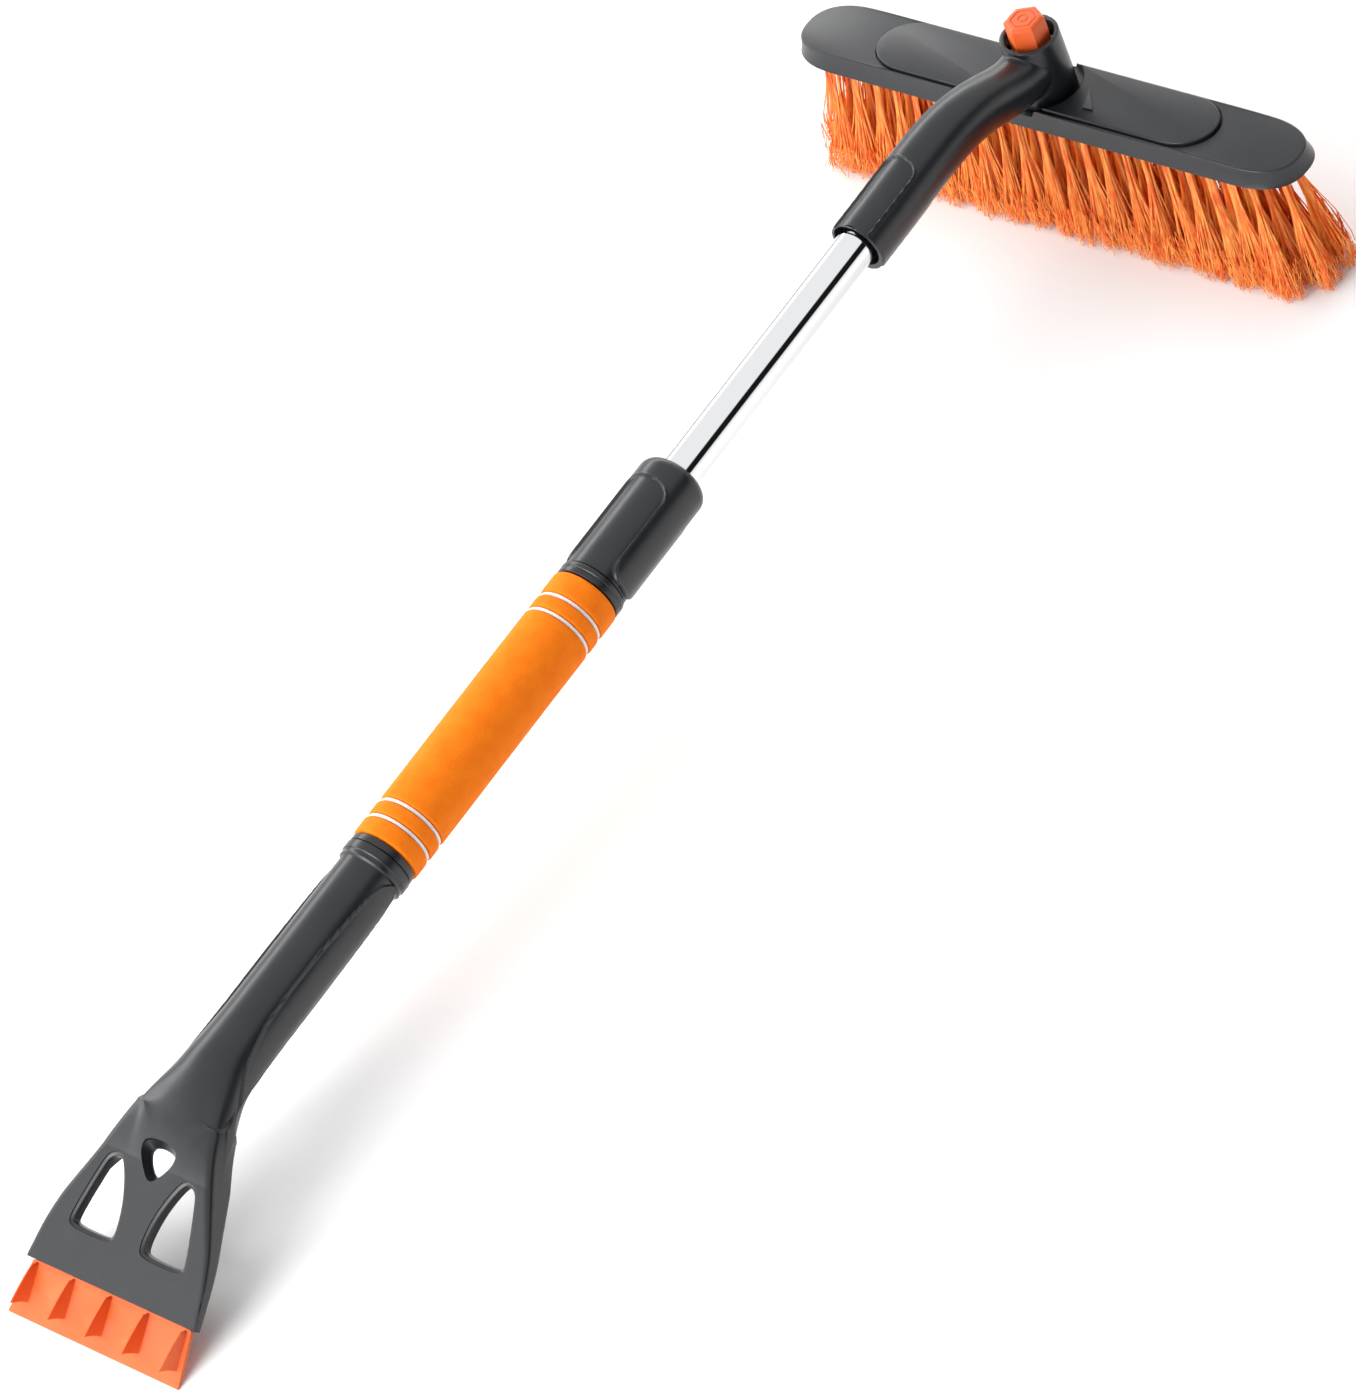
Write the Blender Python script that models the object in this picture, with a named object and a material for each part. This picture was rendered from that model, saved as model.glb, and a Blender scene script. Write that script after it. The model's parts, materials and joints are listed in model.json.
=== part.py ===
"""Telescopic snow brush with an ice scraper.

The tool lies on its bristle tips and on its scraper edge, at z = 0.
+X runs along the brush head, +Y runs from the scraper to the brush, +Z is up.
Lengths are metres and angles are radians.
"""
import math

import bmesh
import bpy
from mathutils import Matrix, Vector

# ---- general ------------------------------------------------------------------
GAP = 0.0003                 # clearance between neighbouring pieces
BEYOND = 0.010               # a cutter runs past the piece it cuts by this
OVERLAP = 0.0010             # joined shapes sink into each other by this
STEP = 0.0001                # height of the slope under a screw head
ROUND = 32                   # sides of a large round piece
SMALL_ROUND = 16             # sides of a screw or a small boss
SCREW_ROUND = 12             # sides of the smallest screws
SHARP_ANGLE = math.radians(35)

HANDLE_DROP = 0.086          # slope of the handle, down towards the scraper
AXIS_RISE = 0.03485          # handle axis above the brush plate, over the pivot

# ---- brush head: lengths, and heights above the plate -------------------------
BRUSH_LENGTH = 0.2825
BRUSH_WIDTH = 0.0346
BRUSH_END = 0.0275           # length of each rounded end
SKIRT_DEPTH = 0.0101
SKIRT_FLARE = 0.0020
COVER_WALL = 0.0024
COVER_TOP = 0.0030
PLATFORM_LENGTH = 0.192      # raised oval on the plate
PLATFORM_WIDTH = 0.0310
PLATFORM_END = 0.020
PLATFORM_RISE = 0.0018
POCKET_RADIUS = 0.0180       # round seat for the pivot
POCKET_DEPTH = 0.0040
SEAT_WALL = 0.0022           # wall and floor of the seat under the plate
SEAT_CLEARANCE = 0.0008      # between the seat and the recess in the block
BLOCK_BOTTOM = 0.0094
BLOCK_SCREW_PLACES = (-0.105, -0.042, 0.042, 0.105)
BLOCK_SCREW_HOLE = 0.0014
BLOCK_SCREW_SHANK = 0.0011
BLOCK_SCREW_HEAD = 0.0023
BLOCK_SCREW_HEAD_HEIGHT = 0.0013
BLOCK_SCREW_TIP = 0.0014     # below the plate
BLOCK_SCREW_HOLE_TOP = 0.0010

# ---- bristles -----------------------------------------------------------------
TUFT_PITCH = 0.0119
TUFT_LEAN = 0.072            # tufts lean out by this share of their distance from the middle
TUFT_ROOT = 0.0052
TUFT_SPREAD = 0.47           # half width of a tuft above the fringe, as a share of the pitch
FRINGE_HEIGHT = 0.016        # where the tufts run together above the tips
ROW_THICKNESS = 0.0044
ROWS = ((-0.0118, 21), (-0.0046, 23), (0.0046, 23), (0.0118, 21))   # (offset across, tufts)
ROW_FLARE = 0.40             # tips lean out by this share of the row's offset

# ---- pivot and lock: radii, and heights above the plate -----------------------
BOSS_RADIUS = 0.01415
BOSS_HEIGHT = 0.0305
BOSS_LIFT = 0.0006           # boss above the pocket's floor
BOSS_BORE = 0.0116           # well that the button moves in
LOWER_BORE = 0.0104          # cavity that turns on the post
WEB_BOTTOM = 0.0097
WEB_TOP = 0.0121
POST_RADIUS = 0.0099
POST_HOLE_RADIUS = 0.0020
POST_HOLE_BOTTOM = 0.0090
STUB_RADIUS = 0.0059
STUB_TOP = 0.0224
LUG_RADIUS = 0.0126          # lock ring's lugs
LUG_ROOT = 0.0104            # lock ring between its lugs
LUG_COUNT = 6
LUG_SHARE = 0.30             # a lug's share of its pitch
LUG_WAY_SHARE = 0.34
LUG_SLOPE = 0.02             # a lug's side, as a share of the pitch
LUG_WAY_BOTTOM = 0.0131
LUG_WAY_TOP = 0.0235
LOCK_RING_HEIGHT = 0.0038
SPRING_TURNS = 2
SPRING_WIRE = 0.0005
SPRING_RADIUS = 0.0085
SPRING_STEPS = 16            # rings in a turn
SPRING_SIDES = 6
WASHER_RADIUS = 0.0075
WASHER_HOLE = 0.0023
WASHER_THICKNESS = 0.0010
PIVOT_SCREW_SHANK = 0.0016
PIVOT_SCREW_BOTTOM = 0.0100
PIVOT_SCREW_HEAD = 0.0036
PIVOT_SCREW_CROWN = 0.0024
PIVOT_SCREW_RIM = 0.0012     # height of the head's straight side
PIVOT_SCREW_HEIGHT = 0.0022
BUTTON_RADIUS = 0.0093
BUTTON_SWELL = 0.022         # how far the six corners stand out, as a share of the radius
BUTTON_SIDES = 30
BUTTON_WALL = 0.0014
BUTTON_TOP = 0.0400
BUTTON_ROOF = 0.0034
BUTTON_BEVEL = 0.0014

# ---- handle: radii ------------------------------------------------------------
INNER_TUBE_RADIUS = 0.0095
INNER_TUBE_WALL = 0.0010
OUTER_TUBE_RADIUS = 0.0114
OUTER_TUBE_WALL = 0.0010
GRIP_RADIUS = 0.0163
GRIP_LIP = 0.0008            # chamfer at the grip's ends
GROOVE_HALF = 0.0009
GROOVE_DEPTH = 0.0011
STRIPE_HALF = 0.0006
STRIPE_OUTSIDE = 0.0002      # below the grip's surface
STRIPE_INSIDE = 0.0008
COLLAR_RADIUS = 0.0164
COLLAR_WALL = 0.0027
COLLAR_BORE = 0.0099
COLLAR_SHOULDER = 0.0075     # length of the rounded shoulder
COLLAR_LIP = 0.0004          # flat ring inside the shoulder
COLLAR_TAPER = 0.0040        # length of the taper at the far end
COLLAR_TAPER_DEPTH = 0.0006
CAVITY_SLOPE = 0.0020
SHOULDER_SPANS = 5
COLLET_SMALL = 0.0118
COLLET_LARGE = 0.0131
COLLET_SLIT = 0.0007         # half width
COLLET_ROOT = 0.0080         # length of the sleeve that isn't split
FERRULE_SPIGOT = 0.0134
GUIDE_SPIGOT = 0.0140        # length inside the tube
GUIDE_BORE = 0.0050
END_RING_RADIUS = 0.0156
BODY_RADIUS = 0.0152
WELL_RADIUS = 0.0020         # hole for a screw from below
WELL_TIP = 0.0050            # from the handle axis
WELL_END = 0.030
SIDE_SCREW_SHANK = 0.0015
SIDE_SCREW_HEAD = 0.0017
SIDE_SCREW_HEAD_HEIGHT = 0.0016
HANDLE_SCREW = (0.5450, 0.0107, 0.0133)     # station, then tip and head seat from the handle axis
NECK_SCREW = (0.1180, 0.0082, 0.0125)

# ---- handle: stations along its axis, from over the pivot ---------------------
TUBE_START = 0.0950
SOCKET_END = 0.1377
COLLAR_START = 0.2733
COLLAR_END = 0.3410
CAVITY_START = 0.2860        # wide bore of the collar, round the collet
COLLET_START = 0.2870
COLLET_END = 0.3176
FERRULE_START = 0.3180
LEDGE = 0.3300
GRIP_START = 0.3477
GRIP_END = 0.4970
STRIPE_STATIONS = (0.3604, 0.3691, 0.4784, 0.4872)
TUBE_END = 0.4380
GUIDE_END = 0.4460
BODY_START = 0.5010
SLEEVE_START = 0.5095        # plain sleeve after the flange
SLEEVE_STATIONS = (0.545, 0.580)
OUTER_TUBE_END = 0.5850
HEAD_BEND = 0.6547

# the neck: distance from the pivot towards the handle, height above the plate, half width
NECK_STATIONS = (
    (0.1368, 0.0218, 0.0139), (0.1150, 0.0237, 0.0139), (0.0920, 0.0260, 0.0139), (0.0760, 0.0273, 0.0139),
    (0.0620, 0.0272, 0.0137), (0.0490, 0.0252, 0.0131), (0.0380, 0.0219, 0.0124), (0.0280, 0.0180, 0.0115),
    (0.0190, 0.0152, 0.0106), (0.0100, 0.0142, 0.0102), (0.0, 0.0140, 0.0102),
)
# the neck's socket: radius beyond the tube's, distance past the socket's end
SOCKET_BORE = ((GAP, -0.0433), (GAP, -0.0090), (0.0022, -0.0060), (0.0026, 0.0040))

# ---- scraper head: lengths past the bend, along the head ----------------------
HEAD_ANGLE = 0.486           # the head bends down from the handle by this
HEAD_THICKNESS = 0.0075
HEAD_END = 0.0658
HEAD_STATIONS = (0.014, 0.024, 0.0354, 0.0474, 0.057, HEAD_END)
FLANGE_LENGTH = 0.0070
FLANGE_SLOPE = 0.0006
FLANGE_STEP = 0.0010         # flange above the sleeve
BEND_LEAD = 0.052            # the path leaves the handle axis this far before the bend
BEND_TAIL = 0.010
BEND_PULL = 0.022            # length of the path's control arms
BEND_SPANS = 10
SECTION_LEAD = 0.054         # sections close up this far before the bend
BODY_WIDTH = (               # (station, half width)
    (SLEEVE_START, BODY_RADIUS), (HEAD_BEND - SECTION_LEAD, 0.0158), (HEAD_BEND - 0.022, 0.0164),
    (HEAD_BEND - 0.012, 0.0195), (HEAD_BEND + 0.0115, 0.0312), (HEAD_BEND + 0.0354, 0.0432),
    (HEAD_BEND + 0.0474, 0.0466), (HEAD_BEND + HEAD_END, 0.0496),
)
BODY_HEIGHT = (              # (station, half height)
    (SLEEVE_START, BODY_RADIUS), (HEAD_BEND - 0.040, 0.0152), (HEAD_BEND - 0.020, 0.0118),
    (HEAD_BEND, 0.0060), (HEAD_BEND + 0.014, HEAD_THICKNESS / 2),
)
BODY_SQUARENESS = (          # (station, superellipse power)
    (HEAD_BEND - 0.040, 2.0), (HEAD_BEND + 0.014, 6.0),
)
WINDOW = (                   # right window: (across, along)
    (0.0205, 0.0125), (0.0235, 0.0135), (0.0255, 0.0165), (0.0325, 0.0430), (0.0310, 0.0455),
    (0.0105, 0.0455), (0.0085, 0.0430), (0.0100, 0.0310), (0.0140, 0.0200), (0.0180, 0.0130),
)
SHIELD_HALF = ((0.0, 0.0135), (0.0030, 0.0120), (0.0060, 0.0060), (0.0050, 0.0030), (0.0, 0.0020))

BLADE_END = 0.0903
BLADE_TOP = 0.0019           # blade's upper face below the head's upper face
BLADE_THICKNESS = 0.0024
BLADE_EDGE = 0.0009
BLADE_BEVEL = 0.0060
BLADE_TONGUE = 0.0135
BLADE_HALF_ROOT = 0.0462
BLADE_HALF_EDGE = 0.0498
BLADE_TAPER = 0.0009         # half width lost from the edge back to the bevel
BLADE_SHOULDER = 0.0002
TONGUE_INSET = 0.0010        # tongue narrower than the root, each side
SLOT_INSET = 0.0005
TOOTH_COUNT = 5
TOOTH_PITCH = 0.02175
TOOTH_START = 0.0682
TOOTH_FOOT = 0.0833
TOOTH_TIP = 0.0860
TOOTH_HEIGHT = 0.0075
TOOTH_HALF = 0.0026
TOOTH_SINK = 0.0008

# ---- derived frame ------------------------------------------------------------
HEAD_SLOPE = HANDLE_DROP + HEAD_ANGLE
ALONG_HANDLE = Vector((0.0, -math.cos(HANDLE_DROP), -math.sin(HANDLE_DROP)))
ALONG_HEAD = Vector((0.0, -math.cos(HEAD_SLOPE), -math.sin(HEAD_SLOPE)))
HEAD_UP = Vector((0.0, -math.sin(HEAD_SLOPE), math.cos(HEAD_SLOPE)))
AXIS_POINT = Vector((0.0, 0.0, AXIS_RISE))
BEND_POINT = AXIS_POINT + ALONG_HANDLE * HEAD_BEND
EDGE_POINT = BEND_POINT + ALONG_HEAD * BLADE_END - HEAD_UP * (BLADE_TOP + BLADE_EDGE)
TOOTH_POINT = BEND_POINT + ALONG_HEAD * TOOTH_TIP + HEAD_UP * (TOOTH_HEIGHT - BLADE_TOP)
PLATE_HEIGHT = -EDGE_POINT.z                      # the scraper edge touches z = 0
TIP_REACH = abs(ROWS[0][0]) * (1 + ROW_FLARE) + ROW_THICKNESS / 2
BACK_REACH = max(TIP_REACH, BRUSH_WIDTH / 2 + SKIRT_FLARE)
PIVOT_Y = (-TOOTH_POINT.y - BACK_REACH) / 2       # the origin is under the middle
LOCK_RING_BOTTOM = STUB_TOP - LOCK_RING_HEIGHT

MATERIALS = {                # colour, roughness, metallic
    "black_plastic": ((0.030, 0.033, 0.038), 0.55, 0.0),
    "orange_plastic": ((0.95, 0.26, 0.06), 0.40, 0.0),
    "orange_foam": ((0.95, 0.30, 0.02), 0.85, 0.0),
    "white_foam": ((0.90, 0.88, 0.84), 0.80, 0.0),
    "bristle": ((0.92, 0.24, 0.02), 0.50, 0.0),
    "chrome": ((0.80, 0.81, 0.83), 0.08, 1.0),
    "aluminium": ((0.62, 0.63, 0.65), 0.30, 1.0),
    "nylon": ((0.70, 0.69, 0.65), 0.45, 0.0),
    "steel": ((0.45, 0.46, 0.48), 0.30, 1.0),
}


# ---- modelling helpers --------------------------------------------------------
def clear_scene():
    for old in list(bpy.data.objects):
        bpy.data.objects.remove(old, do_unlink=True)


def material(name):
    found = bpy.data.materials.get(name)
    if found:
        return found
    colour, roughness, metallic = MATERIALS[name]
    made = bpy.data.materials.new(name)
    made.use_nodes = True
    shader = made.node_tree.nodes["Principled BSDF"]
    shader.inputs["Base Color"].default_value = (*colour, 1.0)
    shader.inputs["Roughness"].default_value = roughness
    shader.inputs["Metallic"].default_value = metallic
    made.diffuse_color = (*colour, 1.0)
    return made


def make_object(name, vertices, faces, slot, parent, smooth=True):
    mesh = bpy.data.meshes.new(name)
    mesh.from_pydata([tuple(point) for point in vertices], [], faces)
    shell = bmesh.new()
    shell.from_mesh(mesh)
    bmesh.ops.recalc_face_normals(shell, faces=shell.faces)
    shell.to_mesh(mesh)
    shell.free()
    if smooth:
        mesh.shade_smooth()
        mesh.set_sharp_from_angle(angle=SHARP_ANGLE)
    mesh.materials.append(material(slot))
    made = bpy.data.objects.new(name, mesh)
    bpy.context.collection.objects.link(made)
    made.parent = parent
    return made


def circle(radius, height, sides):
    ring = []
    for i in range(sides):
        angle = 2 * math.pi * i / sides
        ring.append(Vector((radius * math.cos(angle), radius * math.sin(angle), height)))
    return ring


def loft(rings, closed):
    """Vertices and faces of a skin over equal rings; closed joins the last ring to the first."""
    sides = len(rings[0])
    vertices = [point for ring in rings for point in ring]
    faces = []
    spans = len(rings) if closed else len(rings) - 1
    for row in range(spans):
        here = row * sides
        after = (row + 1) % len(rings) * sides
        for side in range(sides):
            beside = (side + 1) % sides
            faces.append((here + side, here + beside, after + beside, after + side))
    if not closed:
        faces.append(tuple(reversed(range(sides))))
        faces.append(tuple(range((len(rings) - 1) * sides, len(rings) * sides)))
    return vertices, faces


def turned(name, profile, slot, parent, sides=ROUND, hollow=True):
    """A turned piece from (radius, height) points; a hollow one's profile is a closed loop."""
    rings = [circle(radius, height, sides) for radius, height in profile]
    vertices, faces = loft(rings, hollow)
    return make_object(name, vertices, faces, slot, parent)


def tube(name, outside, inside, start, end, slot, parent):
    profile = [(outside, start), (outside, end), (inside, end), (inside, start)]
    return turned(name, profile, slot, parent)


def rod(name, radius, start, end, slot, parent, sides=ROUND):
    return turned(name, [(radius, start), (radius, end)], slot, parent, sides, hollow=False)


def bore(name, radius, start, end, parent, sides=ROUND):
    """A round cutter."""
    return rod(name, radius, start, end, "steel", parent, sides)


def extruded(name, outline, bottom, top, slot, parent):
    """A straight block from an (x, y) outline."""
    rings = [[Vector((x, y, height)) for x, y in outline] for height in (bottom, top)]
    vertices, faces = loft(rings, False)
    return make_object(name, vertices, faces, slot, parent)


def combine(target, tool, operation):
    tool.hide_render = True
    tool.display_type = "WIRE"
    modifier = target.modifiers.new(operation.lower(), "BOOLEAN")
    modifier.operation = operation
    modifier.solver = "EXACT"
    modifier.object = tool


def cut(target, tool):
    combine(target, tool, "DIFFERENCE")


def fuse(target, tool):
    combine(target, tool, "UNION")


def oval(length, width, end, points=12):
    """Outline of a plate with straight sides and elliptical ends."""
    right = []
    for i in range(points + 1):
        angle = -math.pi / 2 + math.pi * i / points
        right.append((length / 2 - end + end * math.cos(angle), width / 2 * math.sin(angle)))
    return right + [(-x, -y) for x, y in right]


def between(points, x):
    """The value at x on the straight lines between (x, value) points."""
    if x <= points[0][0]:
        return points[0][1]
    for (x0, value0), (x1, value1) in zip(points, points[1:]):
        if x <= x1:
            return value0 + (value1 - value0) * (x - x0) / (x1 - x0)
    return points[-1][1]


# ---- axes of the moving pieces ------------------------------------------------
def empty(name, matrix):
    made = bpy.data.objects.new(name, None)
    bpy.context.collection.objects.link(made)
    made.matrix_world = matrix
    return made


def pivot_axis():
    return empty("pivot_axis", Matrix.Translation((0.0, PIVOT_Y, PLATE_HEIGHT)))


def handle_axis():
    """Local +Z runs along the handle from over the pivot to the scraper."""
    place = Matrix.Translation((0.0, PIVOT_Y, PLATE_HEIGHT + AXIS_RISE))
    return empty("handle_axis", place @ Matrix.Rotation(math.pi / 2 + HANDLE_DROP, 4, "X"))


# ---- scraper end --------------------------------------------------------------
def body_path(station):
    """Centre and direction of the body at a distance along the handle axis."""
    lead = HEAD_BEND - BEND_LEAD
    tail = HEAD_BEND + BEND_TAIL
    p0 = AXIS_POINT + ALONG_HANDLE * lead
    p3 = BEND_POINT + ALONG_HEAD * BEND_TAIL - HEAD_UP * HEAD_THICKNESS / 2
    if station <= lead:
        return AXIS_POINT + ALONG_HANDLE * station, ALONG_HANDLE
    if station >= tail:
        return p3 + ALONG_HEAD * (station - tail), ALONG_HEAD
    p1 = p0 + ALONG_HANDLE * BEND_PULL
    p2 = p3 - ALONG_HEAD * BEND_PULL
    t = (station - lead) / (tail - lead)
    point = p0 * (1 - t) ** 3 + p1 * 3 * t * (1 - t) ** 2 + p2 * 3 * t * t * (1 - t) + p3 * t ** 3
    slope = (p1 - p0) * (1 - t) ** 2 + (p2 - p1) * 2 * t * (1 - t) + (p3 - p2) * t * t
    return point, slope.normalized()


def body_section(station, grow):
    centre, direction = body_path(station)
    across = direction.cross(Vector((1.0, 0.0, 0.0))).normalized()
    half_width = between(BODY_WIDTH, station) + grow
    half_height = between(BODY_HEIGHT, station) + grow
    power = 2.0 / between(BODY_SQUARENESS, station)
    ring = []
    for i in range(ROUND):
        angle = 2 * math.pi * i / ROUND
        cosine = math.cos(angle)
        sine = math.sin(angle)
        x = half_width * math.copysign(abs(cosine) ** power, cosine)
        y = half_height * math.copysign(abs(sine) ** power, sine)
        ring.append(centre + Vector((x, 0.0, 0.0)) + across * y)
    return ring


def body_stations():
    flange_end = BODY_START + FLANGE_LENGTH
    stations = [BODY_START, flange_end, flange_end + FLANGE_SLOPE, SLEEVE_START, *SLEEVE_STATIONS]
    span = (SECTION_LEAD + BEND_TAIL) / BEND_SPANS
    stations += [HEAD_BEND - SECTION_LEAD + span * i for i in range(BEND_SPANS + 1)]
    stations += [HEAD_BEND + past for past in HEAD_STATIONS]
    return stations


def head_ring(outline, lift):
    """Points over the scraper head from an (across, along) outline, lift above its upper face."""
    origin = BEND_POINT + HEAD_UP * lift
    return [origin + Vector((x, 0.0, 0.0)) + ALONG_HEAD * along for x, along in outline]


def head_cutter(name, outline, bottom, top, pivot):
    vertices, faces = loft([head_ring(outline, bottom), head_ring(outline, top)], False)
    return make_object(name, vertices, faces, "steel", pivot)


def blade_slot(pivot):
    half = BLADE_HALF_ROOT - SLOT_INSET
    start = HEAD_END - BLADE_TONGUE
    end = HEAD_END + BEYOND
    outline = [(-half, end), (half, end), (half, start), (-half, start)]
    bottom = -BLADE_TOP - BLADE_THICKNESS - GAP
    return head_cutter("blade_slot", outline, bottom, -BLADE_TOP + GAP, pivot)


def scraper_body(pivot, handle):
    """Moulded handle end: a sleeve for the tube that bends and flattens into the scraper head."""
    flange_end = BODY_START + FLANGE_LENGTH
    rings = []
    for station in body_stations():
        rings.append(body_section(station, FLANGE_STEP if station <= flange_end else 0.0))
    vertices, faces = loft(rings, False)
    body = make_object("scraper_body", vertices, faces, "black_plastic", pivot)
    tube_end = OUTER_TUBE_END + GAP
    cut(body, bore("body_socket", OUTER_TUBE_RADIUS + GAP, BODY_START - BEYOND, tube_end, handle))
    through = 2 * BEYOND
    for name, side in (("window_right", 1), ("window_left", -1)):
        cut(body, head_cutter(name, [(x * side, along) for x, along in WINDOW], -through, through, pivot))
    shield = list(SHIELD_HALF) + [(-x, along) for x, along in reversed(SHIELD_HALF[1:-1])]
    cut(body, head_cutter("shield_hole", shield, -through, through, pivot))
    cut(body, blade_slot(pivot))
    cut(body, screw_well("body_screw_well", HANDLE_SCREW[0], handle))
    return body


def blade_tooth(index, pivot):
    """A fin that rises towards the edge and leans forward, as a four-cornered wedge."""
    middle = (index - (TOOTH_COUNT - 1) / 2) * TOOTH_PITCH
    base = -BLADE_TOP - TOOTH_SINK
    foot = [(middle, TOOTH_START), (middle - TOOTH_HALF, TOOTH_FOOT), (middle + TOOTH_HALF, TOOTH_FOOT)]
    points = head_ring(foot, base) + head_ring([(middle, TOOTH_TIP)], TOOTH_HEIGHT - BLADE_TOP)
    faces = [(0, 1, 2), (0, 3, 1), (0, 2, 3), (1, 3, 2)]
    return make_object(f"tooth_{index + 1}", points, faces, "orange_plastic", pivot, smooth=False)


def scraper_blade(pivot):
    """Blade with a tongue inside the head and ice-breaking teeth on its upper face."""
    tongue_half = BLADE_HALF_ROOT - TONGUE_INSET
    root = HEAD_END + GAP
    rows = (
        (HEAD_END - BLADE_TONGUE + GAP, tongue_half, BLADE_THICKNESS),
        (root, tongue_half, BLADE_THICKNESS),
        (root + BLADE_SHOULDER, BLADE_HALF_ROOT, BLADE_THICKNESS),
        (BLADE_END - BLADE_BEVEL, BLADE_HALF_EDGE - BLADE_TAPER, BLADE_THICKNESS),
        (BLADE_END, BLADE_HALF_EDGE, BLADE_EDGE),
    )
    rings = []
    for along, half, thickness in rows:
        lower = head_ring([(-half, along), (half, along)], -BLADE_TOP - thickness)
        upper = head_ring([(half, along), (-half, along)], -BLADE_TOP)
        rings.append(lower + upper)
    vertices, faces = loft(rings, False)
    blade = make_object("scraper_blade", vertices, faces, "orange_plastic", pivot, smooth=False)
    for index in range(TOOTH_COUNT):
        fuse(blade, blade_tooth(index, pivot))
    return blade


# ---- handle -------------------------------------------------------------------
def square_to_handle(station):
    """Turns a piece made along +Z so that it points down from the handle axis."""
    return Matrix.Translation((0.0, 0.0, station)) @ Matrix.Rotation(math.pi / 2, 4, "X")


def screw_well(name, station, handle):
    """Cutter for a screw that enters the handle from below."""
    well = bore(name, WELL_RADIUS, WELL_TIP, WELL_END, handle, SMALL_ROUND)
    well.matrix_local = square_to_handle(station)
    return well


def side_screw(name, placing, handle):
    """A small screw from below."""
    station, tip, seat = placing
    head_end = seat + SIDE_SCREW_HEAD_HEIGHT
    profile = [
        (SIDE_SCREW_SHANK, tip), (SIDE_SCREW_SHANK, seat),
        (SIDE_SCREW_HEAD, seat + STEP), (SIDE_SCREW_HEAD, head_end),
    ]
    screw = turned(name, profile, "steel", handle, SMALL_ROUND, hollow=False)
    screw.matrix_local = square_to_handle(station)
    return screw


def outer_tube(handle):
    inside = OUTER_TUBE_RADIUS - OUTER_TUBE_WALL
    sleeve = tube("outer_tube", OUTER_TUBE_RADIUS, inside, LEDGE, OUTER_TUBE_END, "aluminium", handle)
    cut(sleeve, screw_well("outer_tube_screw_well", HANDLE_SCREW[0], handle))
    return sleeve


def foam_grip(handle):
    """Foam sleeve with a shallow groove for each stripe."""
    bore_radius = OUTER_TUBE_RADIUS + GAP
    floor = GRIP_RADIUS - GROOVE_DEPTH
    profile = [(bore_radius, GRIP_END), (bore_radius, GRIP_START)]
    profile += [(GRIP_RADIUS - GRIP_LIP, GRIP_START), (GRIP_RADIUS, GRIP_START + GRIP_LIP)]
    for station in STRIPE_STATIONS:
        profile += [(GRIP_RADIUS, station - GROOVE_HALF), (floor, station - GROOVE_HALF)]
        profile += [(floor, station + GROOVE_HALF), (GRIP_RADIUS, station + GROOVE_HALF)]
    profile += [(GRIP_RADIUS, GRIP_END - GRIP_LIP), (GRIP_RADIUS - GRIP_LIP, GRIP_END)]
    return turned("foam_grip", profile, "orange_foam", handle)


def grip_stripe(index, station, handle):
    outside = GRIP_RADIUS - STRIPE_OUTSIDE
    inside = GRIP_RADIUS - STRIPE_INSIDE
    name = f"grip_stripe_{index}"
    return tube(name, outside, inside, station - STRIPE_HALF, station + STRIPE_HALF, "white_foam", handle)


def grip_end_ring(handle):
    inside = OUTER_TUBE_RADIUS + GAP
    start = GRIP_END + GAP
    return tube("grip_end_ring", END_RING_RADIUS, inside, start, BODY_START - GAP, "black_plastic", handle)


def tube_ferrule(handle):
    """Threaded ferrule on the outer tube: a spigot under the collar and a flange against the foam."""
    tube_seat = OUTER_TUBE_RADIUS + GAP
    throat = INNER_TUBE_RADIUS + GAP
    flange = END_RING_RADIUS + GAP
    flange_start = COLLAR_END + 2 * GAP
    flange_end = GRIP_START - GAP
    profile = [
        (FERRULE_SPIGOT, FERRULE_START), (FERRULE_SPIGOT, flange_start),
        (flange, flange_start), (flange, flange_end),
        (tube_seat, flange_end), (tube_seat, LEDGE - GAP),
        (throat, LEDGE - GAP), (throat, FERRULE_START),
    ]
    return turned("tube_ferrule", profile, "black_plastic", handle)


def collet(handle):
    """Split sleeve that the collar squeezes onto the inner tube."""
    throat = INNER_TUBE_RADIUS + GAP
    profile = [
        (COLLET_SMALL, COLLET_START), (COLLET_LARGE, COLLET_END),
        (throat, COLLET_END), (throat, COLLET_START),
    ]
    sleeve = turned("collet", profile, "nylon", handle)
    reach = COLLET_LARGE + BEYOND
    outline = [(-reach, -COLLET_SLIT), (reach, -COLLET_SLIT), (reach, COLLET_SLIT), (-reach, COLLET_SLIT)]
    for name, turn in (("collet_slit_a", 0.0), ("collet_slit_b", math.pi / 2)):
        slit = extruded(name, outline, COLLET_START - BEYOND, COLLET_END - COLLET_ROOT, "steel", handle)
        slit.matrix_local = Matrix.Rotation(turn + math.pi / ROUND, 4, "Z")
        cut(sleeve, slit)
    return sleeve


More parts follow.
